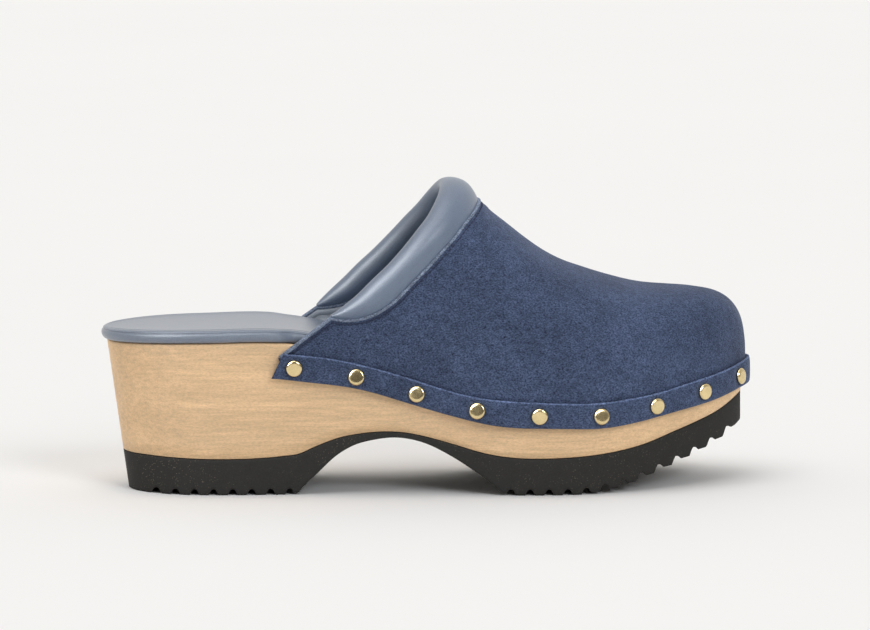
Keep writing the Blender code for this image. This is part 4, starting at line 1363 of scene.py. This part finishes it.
def nail_places():
    """Where each nail goes through the rand, and the way its head faces."""
    ends = [float(angle_of(FIRST_NAIL)), float(angle_of(LAST_NAIL, True))]
    fine = np.linspace(ends[0], ends[1], 4001)
    outward = GAP + UPPER_WALL + GAP + RAND_THICKNESS
    path = side_point(fine, rand_centre(along_of(fine)), outward)
    run = run_along(path)
    count = 1 + int(round(run[-1] / NAIL_PITCH))
    angles = np.interp(np.linspace(0, run[-1], count), run, fine)
    height = rand_centre(along_of(angles))
    here = side_point(angles, height, outward)
    out = unit(side_point(angles, height, outward + MM) - here)
    out[:, 2] = -LEAN(along_of(angles))
    return here, unit(out)


def build_rand(settings, nails):
    """The rand: a flat band of suede with softly rounded cut edges that wander a little. It is
    crowned between the nails, and each nail pulls a round dimple into it. A thin frayed bead
    along its upper edge is the cut, and its pale colour, a lighter copy of the suede, is a painted
    highlight."""
    start = float(angle_of((RAND_END_LOW + RAND_END_HIGH) / 2))
    fine = np.linspace(start, 2 * math.pi - start, 3000)
    marks = even_marks(side_point(fine, rand_centre(along_of(fine))), 420)
    angles = start + (2 * math.pi - 2 * start) * marks
    slant = float(angle_of(RAND_END_HIGH) - angle_of(RAND_END_LOW)) / 2
    span = angles[-1] - angles[0]
    near_start = np.clip(1 - (angles - angles[0]) / (0.05 * span), 0, 1)
    near_end = np.clip(1 - (angles[-1] - angles) / (0.05 * span), 0, 1)
    shear = slant * (near_start - near_end)
    inside = GAP + UPPER_WALL + GAP
    run = run_along(side_point(angles, rand_centre(along_of(angles))))
    wander = 0.22 * MM * np.sin(run / (9.0 * MM)) * np.sin(run / (23.0 * MM) + 1.0)
    heads, _ = nail_places()
    rounding = [
        # level, share of the thickness
        (1.0, 0.40),
        (0.985, 0.66),
        (0.94, 0.86),
        (0.86, 0.97),
        (0.7, 1.0),
        (0.4, 1.0),
        (0.2, 1.0),
    ]
    face = [(-level, share) for level, share in rounding] + [(0.0, 1.0)] + rounding[::-1]

    def height_at(around, level):
        return rand_centre(along_of(around)) + level * RAND_HEIGHT / 2 + level * wander

    ring = []
    for level, share in face:
        around = angles + level * shear
        height = height_at(around, level)
        outer = side_point(around, height, inside + share * RAND_THICKNESS)
        normal = unit(outer - side_point(around, height, 0.0))
        apart = np.linalg.norm(outer[:, None] - heads[None], axis=-1).min(1)
        dimple = nail_dimple(apart, nails.dimple)
        crown = 0.18 * MM * (1 - level * level)
        ring.append(outer + normal * (crown - dimple)[:, None])
    for level in (1, 0.5, 0, -0.5, -1):
        around = angles + level * shear
        ring.append(side_point(around, height_at(around, level), inside))
    rows = np.stack(ring, 1)
    around = angles + shear
    top = height_at(around, 1)
    fray = 1 + 0.22 * np.sin(run / (1.7 * MM)) * np.sin(run / (0.9 * MM) + 2.0)
    radius = settings.cut_edge / 2 * fray
    core = inside + 0.62 * RAND_THICKNESS
    bead = [
        side_point(around, top + radius * math.sin(turn), core + radius * math.cos(turn))
        for turn in np.linspace(0, 2 * math.pi, 8, endpoint=False)
    ]
    return add_piece("rand_band", [(rows, True, True), (np.stack(bead, 1), True, True, 1)], [
        suede_material("rand_suede", settings.colour, settings.blotch * 0.9, settings.nap),
        # The cut edge's bead takes a lighter copy of the suede: a painted highlight along the
        # rand's top
        suede_material("cut_edge_highlight", shade(settings.colour, 2.1), 0.2, settings.nap),
    ])


def nail_dimple(apart, depth):
    """How far a nail pulls the rand in: a bell, flat under the head and steep just outside it."""
    return depth * np.exp(-((apart / NAIL_PULL) ** 4))


def build_nails(settings):
    """The nail heads: a flat disc with a bevel and a rounded rim, turned about each nail's axis,
    over a plain shank."""
    radius, high = NAIL_HEAD_RADIUS, NAIL_HEAD_HEIGHT
    profile = np.array([
        # out from the axis, along it
        (0.0, 0.80 * high),
        (0.50 * radius, 0.80 * high),
        (0.76 * radius, 0.78 * high),
        (0.86 * radius, 0.70 * high),
        (0.94 * radius, 0.50 * high),
        (0.99 * radius, 0.22 * high),
        (1.0 * radius, -0.05 * high),
        (0.96 * radius, -0.30 * high),
        (0.35 * radius, -0.30 * high),
        (0.28 * radius, -5.0 * MM),
        (0.0, -7.0 * MM),
    ])
    places, facing = nail_places()
    turns = np.linspace(0, 2 * math.pi, settings.sides, endpoint=False)
    up = np.array([0.0, 0.0, 1.0])
    parts = []
    tilts = NAIL_TILTS + NAIL_TILTS[::-1]
    for place, out, tilt in zip(places, facing, tilts):
        side = unit(np.cross(up, out))
        out = unit(out + up * math.tan(math.radians(tilt)))
        third = np.cross(out, side)
        ring = side * np.cos(turns)[:, None] + third * np.sin(turns)[:, None]
        base = place + out * GAP
        rows = base + profile[:, 0, None, None] * ring[None] + profile[:, 1, None, None] * out
        parts.append((rows, True, False))
    brass = brass_material("nail_brass", settings.colour)
    return add_piece("nail_heads", parts, [brass], weld=0.02 * MM)


def soft_sun(name, lamp, strength):
    """An even light that comes from a direction and is as soft as its spread is wide."""
    way, spread, colour = lamp
    data = bpy.data.lights.new(name, "SUN")
    data.energy = strength
    data.angle = math.radians(spread)
    data.color = colour
    light = bpy.data.objects.new(name, data)
    bpy.context.scene.collection.objects.link(light)
    light.rotation_mode = "QUATERNION"
    light.rotation_quaternion = (-Vector(way)).to_track_quat("-Z", "Y")
    return light


def build_sky():
    """A warm white sky. Its strength rises evenly with the cosine between a direction and the
    way in which it is brightest."""
    world = bpy.data.worlds.new("studio")
    world.use_nodes = True
    tree = world.node_tree
    sky = tree.nodes["Background"]
    sky.inputs["Color"].default_value = (1.0, 0.97, 0.925, 1.0)
    looking = node(tree, "ShaderNodeTexCoord").outputs["Generated"]
    inputs = {0: looking, 1: tuple(Vector(SKY_WAY).normalized())}
    cosine = node(tree, "ShaderNodeVectorMath", inputs, operation="DOT_PRODUCT").outputs["Value"]
    strength = remap(tree, cosine, (-1.0, 1.0), (SKY_LEAST, SKY_MOST))
    tree.links.new(strength, sky.inputs["Strength"])
    bpy.context.scene.world = world


def build_stage(settings):
    """A pale floor, a sky brightest behind and above the shoe, a soft key lamp overhead, a front
    lamp beside the camera, and a camera with a long lens. A third lamp is seen in gloss alone and
    makes the leather's highlight."""
    reach = 8.0
    corners = [(-reach, -reach, 0), (reach, -reach, 0), (reach, reach, 0), (-reach, reach, 0)]
    mesh = bpy.data.meshes.new("floor")
    mesh.from_pydata(corners, [], [(0, 1, 2, 3)])
    mesh.materials.append(floor_material("studio_floor", settings.floor))
    floor = bpy.data.objects.new("floor", mesh)
    bpy.context.scene.collection.objects.link(floor)
    build_sky()
    soft_sun("key", KEY_LAMP, settings.key)
    soft_sun("front", FRONT_LAMP, settings.front)
    glint = soft_sun("glint", GLINT_LAMP, settings.glint)
    glint.visible_diffuse = False
    camera = bpy.data.objects.new("camera", bpy.data.cameras.new("camera"))
    bpy.context.scene.collection.objects.link(camera)
    turn, lift = settings.azimuth, settings.elevation
    aside, behind = math.sin(turn) * math.cos(lift), -math.cos(turn) * math.cos(lift)
    back = Vector((aside, behind, math.sin(lift)))
    camera.location = Vector(CAMERA_TARGET) + back * settings.distance
    camera.rotation_mode = "QUATERNION"
    roll = Matrix.Rotation(math.radians(CAMERA_ROLL), 3, "Z").to_quaternion()
    camera.rotation_quaternion = (-back).to_track_quat("-Z", "Y") @ roll
    camera.data.sensor_width = SENSOR_WIDTH
    camera.data.lens = PIXELS_PER_MM * settings.distance / MM * SENSOR_WIDTH / PICTURE_WIDTH
    camera.data.clip_end = 60.0
    bpy.context.scene.camera = camera
    bpy.context.scene.view_settings.view_transform = "Standard"


class CLOG_OT_wood_sole(bpy.types.Operator):
    """Add the carved wooden sole"""

    bl_idname = "clog.wood_sole"
    bl_label = "Wooden Sole"

    def execute(self, context):
        piece = build_wood_sole(context.scene.clog_sole)
        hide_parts("wood_sole")
        return {"FINISHED"}


class CLOG_OT_outsole(bpy.types.Operator):
    """Add the rubber outsole with its tread"""

    bl_idname = "clog.outsole"
    bl_label = "Outsole"

    def execute(self, context):
        piece = build_outsole(context.scene.clog_sole)
        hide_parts("outsole")
        return {"FINISHED"}


class CLOG_OT_insole(bpy.types.Operator):
    """Add the padded leather insole"""

    bl_idname = "clog.insole"
    bl_label = "Insole"

    def execute(self, context):
        piece = build_insole(context.scene.clog_leather)
        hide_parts("insole")
        return {"FINISHED"}


class CLOG_OT_upper(bpy.types.Operator):
    """Add the suede upper with its lining"""

    bl_idname = "clog.upper"
    bl_label = "Upper"

    def execute(self, context):
        piece = build_upper(context.scene.clog_suede, context.scene.clog_leather)
        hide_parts("upper")
        return {"FINISHED"}


class CLOG_OT_seam(bpy.types.Operator):
    """Add the folded edge and the stitching along throat and quarter"""

    bl_idname = "clog.seam"
    bl_label = "Seam and Stitching"

    def execute(self, context):
        build_seam_fold(context.scene.clog_suede)
        build_stitching(context.scene.clog_suede)
        return {"FINISHED"}


class CLOG_OT_collar(bpy.types.Operator):
    """Add the padded leather collar"""

    bl_idname = "clog.collar"
    bl_label = "Collar"

    def execute(self, context):
        piece = build_collar(context.scene.clog_leather)
        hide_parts("collar")
        return {"FINISHED"}


class CLOG_OT_rand(bpy.types.Operator):
    """Add the suede rand"""

    bl_idname = "clog.rand"
    bl_label = "Rand"

    def execute(self, context):
        piece = build_rand(context.scene.clog_suede, context.scene.clog_nails)
        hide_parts("rand")
        return {"FINISHED"}


class CLOG_OT_nails(bpy.types.Operator):
    """Add the brass nails"""

    bl_idname = "clog.nails"
    bl_label = "Nails"

    def execute(self, context):
        piece = build_nails(context.scene.clog_nails)
        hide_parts(*[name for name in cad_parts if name.startswith("nail_")])
        return {"FINISHED"}


class CLOG_OT_stage(bpy.types.Operator):
    """Add floor, lights and camera"""

    bl_idname = "clog.stage"
    bl_label = "Stage"

    def execute(self, context):
        build_stage(context.scene.clog_studio)
        return {"FINISHED"}


OPERATORS = (
    CLOG_OT_wood_sole,
    CLOG_OT_outsole,
    CLOG_OT_insole,
    CLOG_OT_upper,
    CLOG_OT_seam,
    CLOG_OT_collar,
    CLOG_OT_rand,
    CLOG_OT_nails,
    CLOG_OT_stage,
)


class CLOG_PT_pieces(bpy.types.Panel):
    """Lists the clog's pieces and their settings"""

    bl_idname = "CLOG_PT_pieces"
    bl_label = "Clog"
    bl_space_type = "VIEW_3D"
    bl_region_type = "UI"
    bl_category = "Clog"

    def draw(self, context):
        for operator in OPERATORS:
            self.layout.operator(operator.bl_idname)
        for key, kind in SETTINGS:
            box = self.layout.box()
            box.label(text=kind.__doc__)
            for field in kind.__annotations__:
                box.prop(getattr(context.scene, key), field)


SETTINGS = (
    ("clog_sole", SoleSettings),
    ("clog_suede", SuedeSettings),
    ("clog_leather", LeatherSettings),
    ("clog_nails", NailSettings),
    ("clog_studio", StudioSettings),
)


def register():
    for key, kind in SETTINGS:
        bpy.utils.register_class(kind)
        setattr(bpy.types.Scene, key, bpy.props.PointerProperty(type=kind))
    for kind in OPERATORS + (CLOG_PT_pieces,):
        bpy.utils.register_class(kind)


def unregister():
    for kind in (CLOG_PT_pieces,) + OPERATORS[::-1]:
        bpy.utils.unregister_class(kind)
    for key, kind in SETTINGS[::-1]:
        delattr(bpy.types.Scene, key)
        bpy.utils.unregister_class(kind)


def main():
    register()
    for operator in OPERATORS:
        area, name = operator.bl_idname.split(".")
        getattr(getattr(bpy.ops, area), name)()


if __name__ == "__main__":
    main()
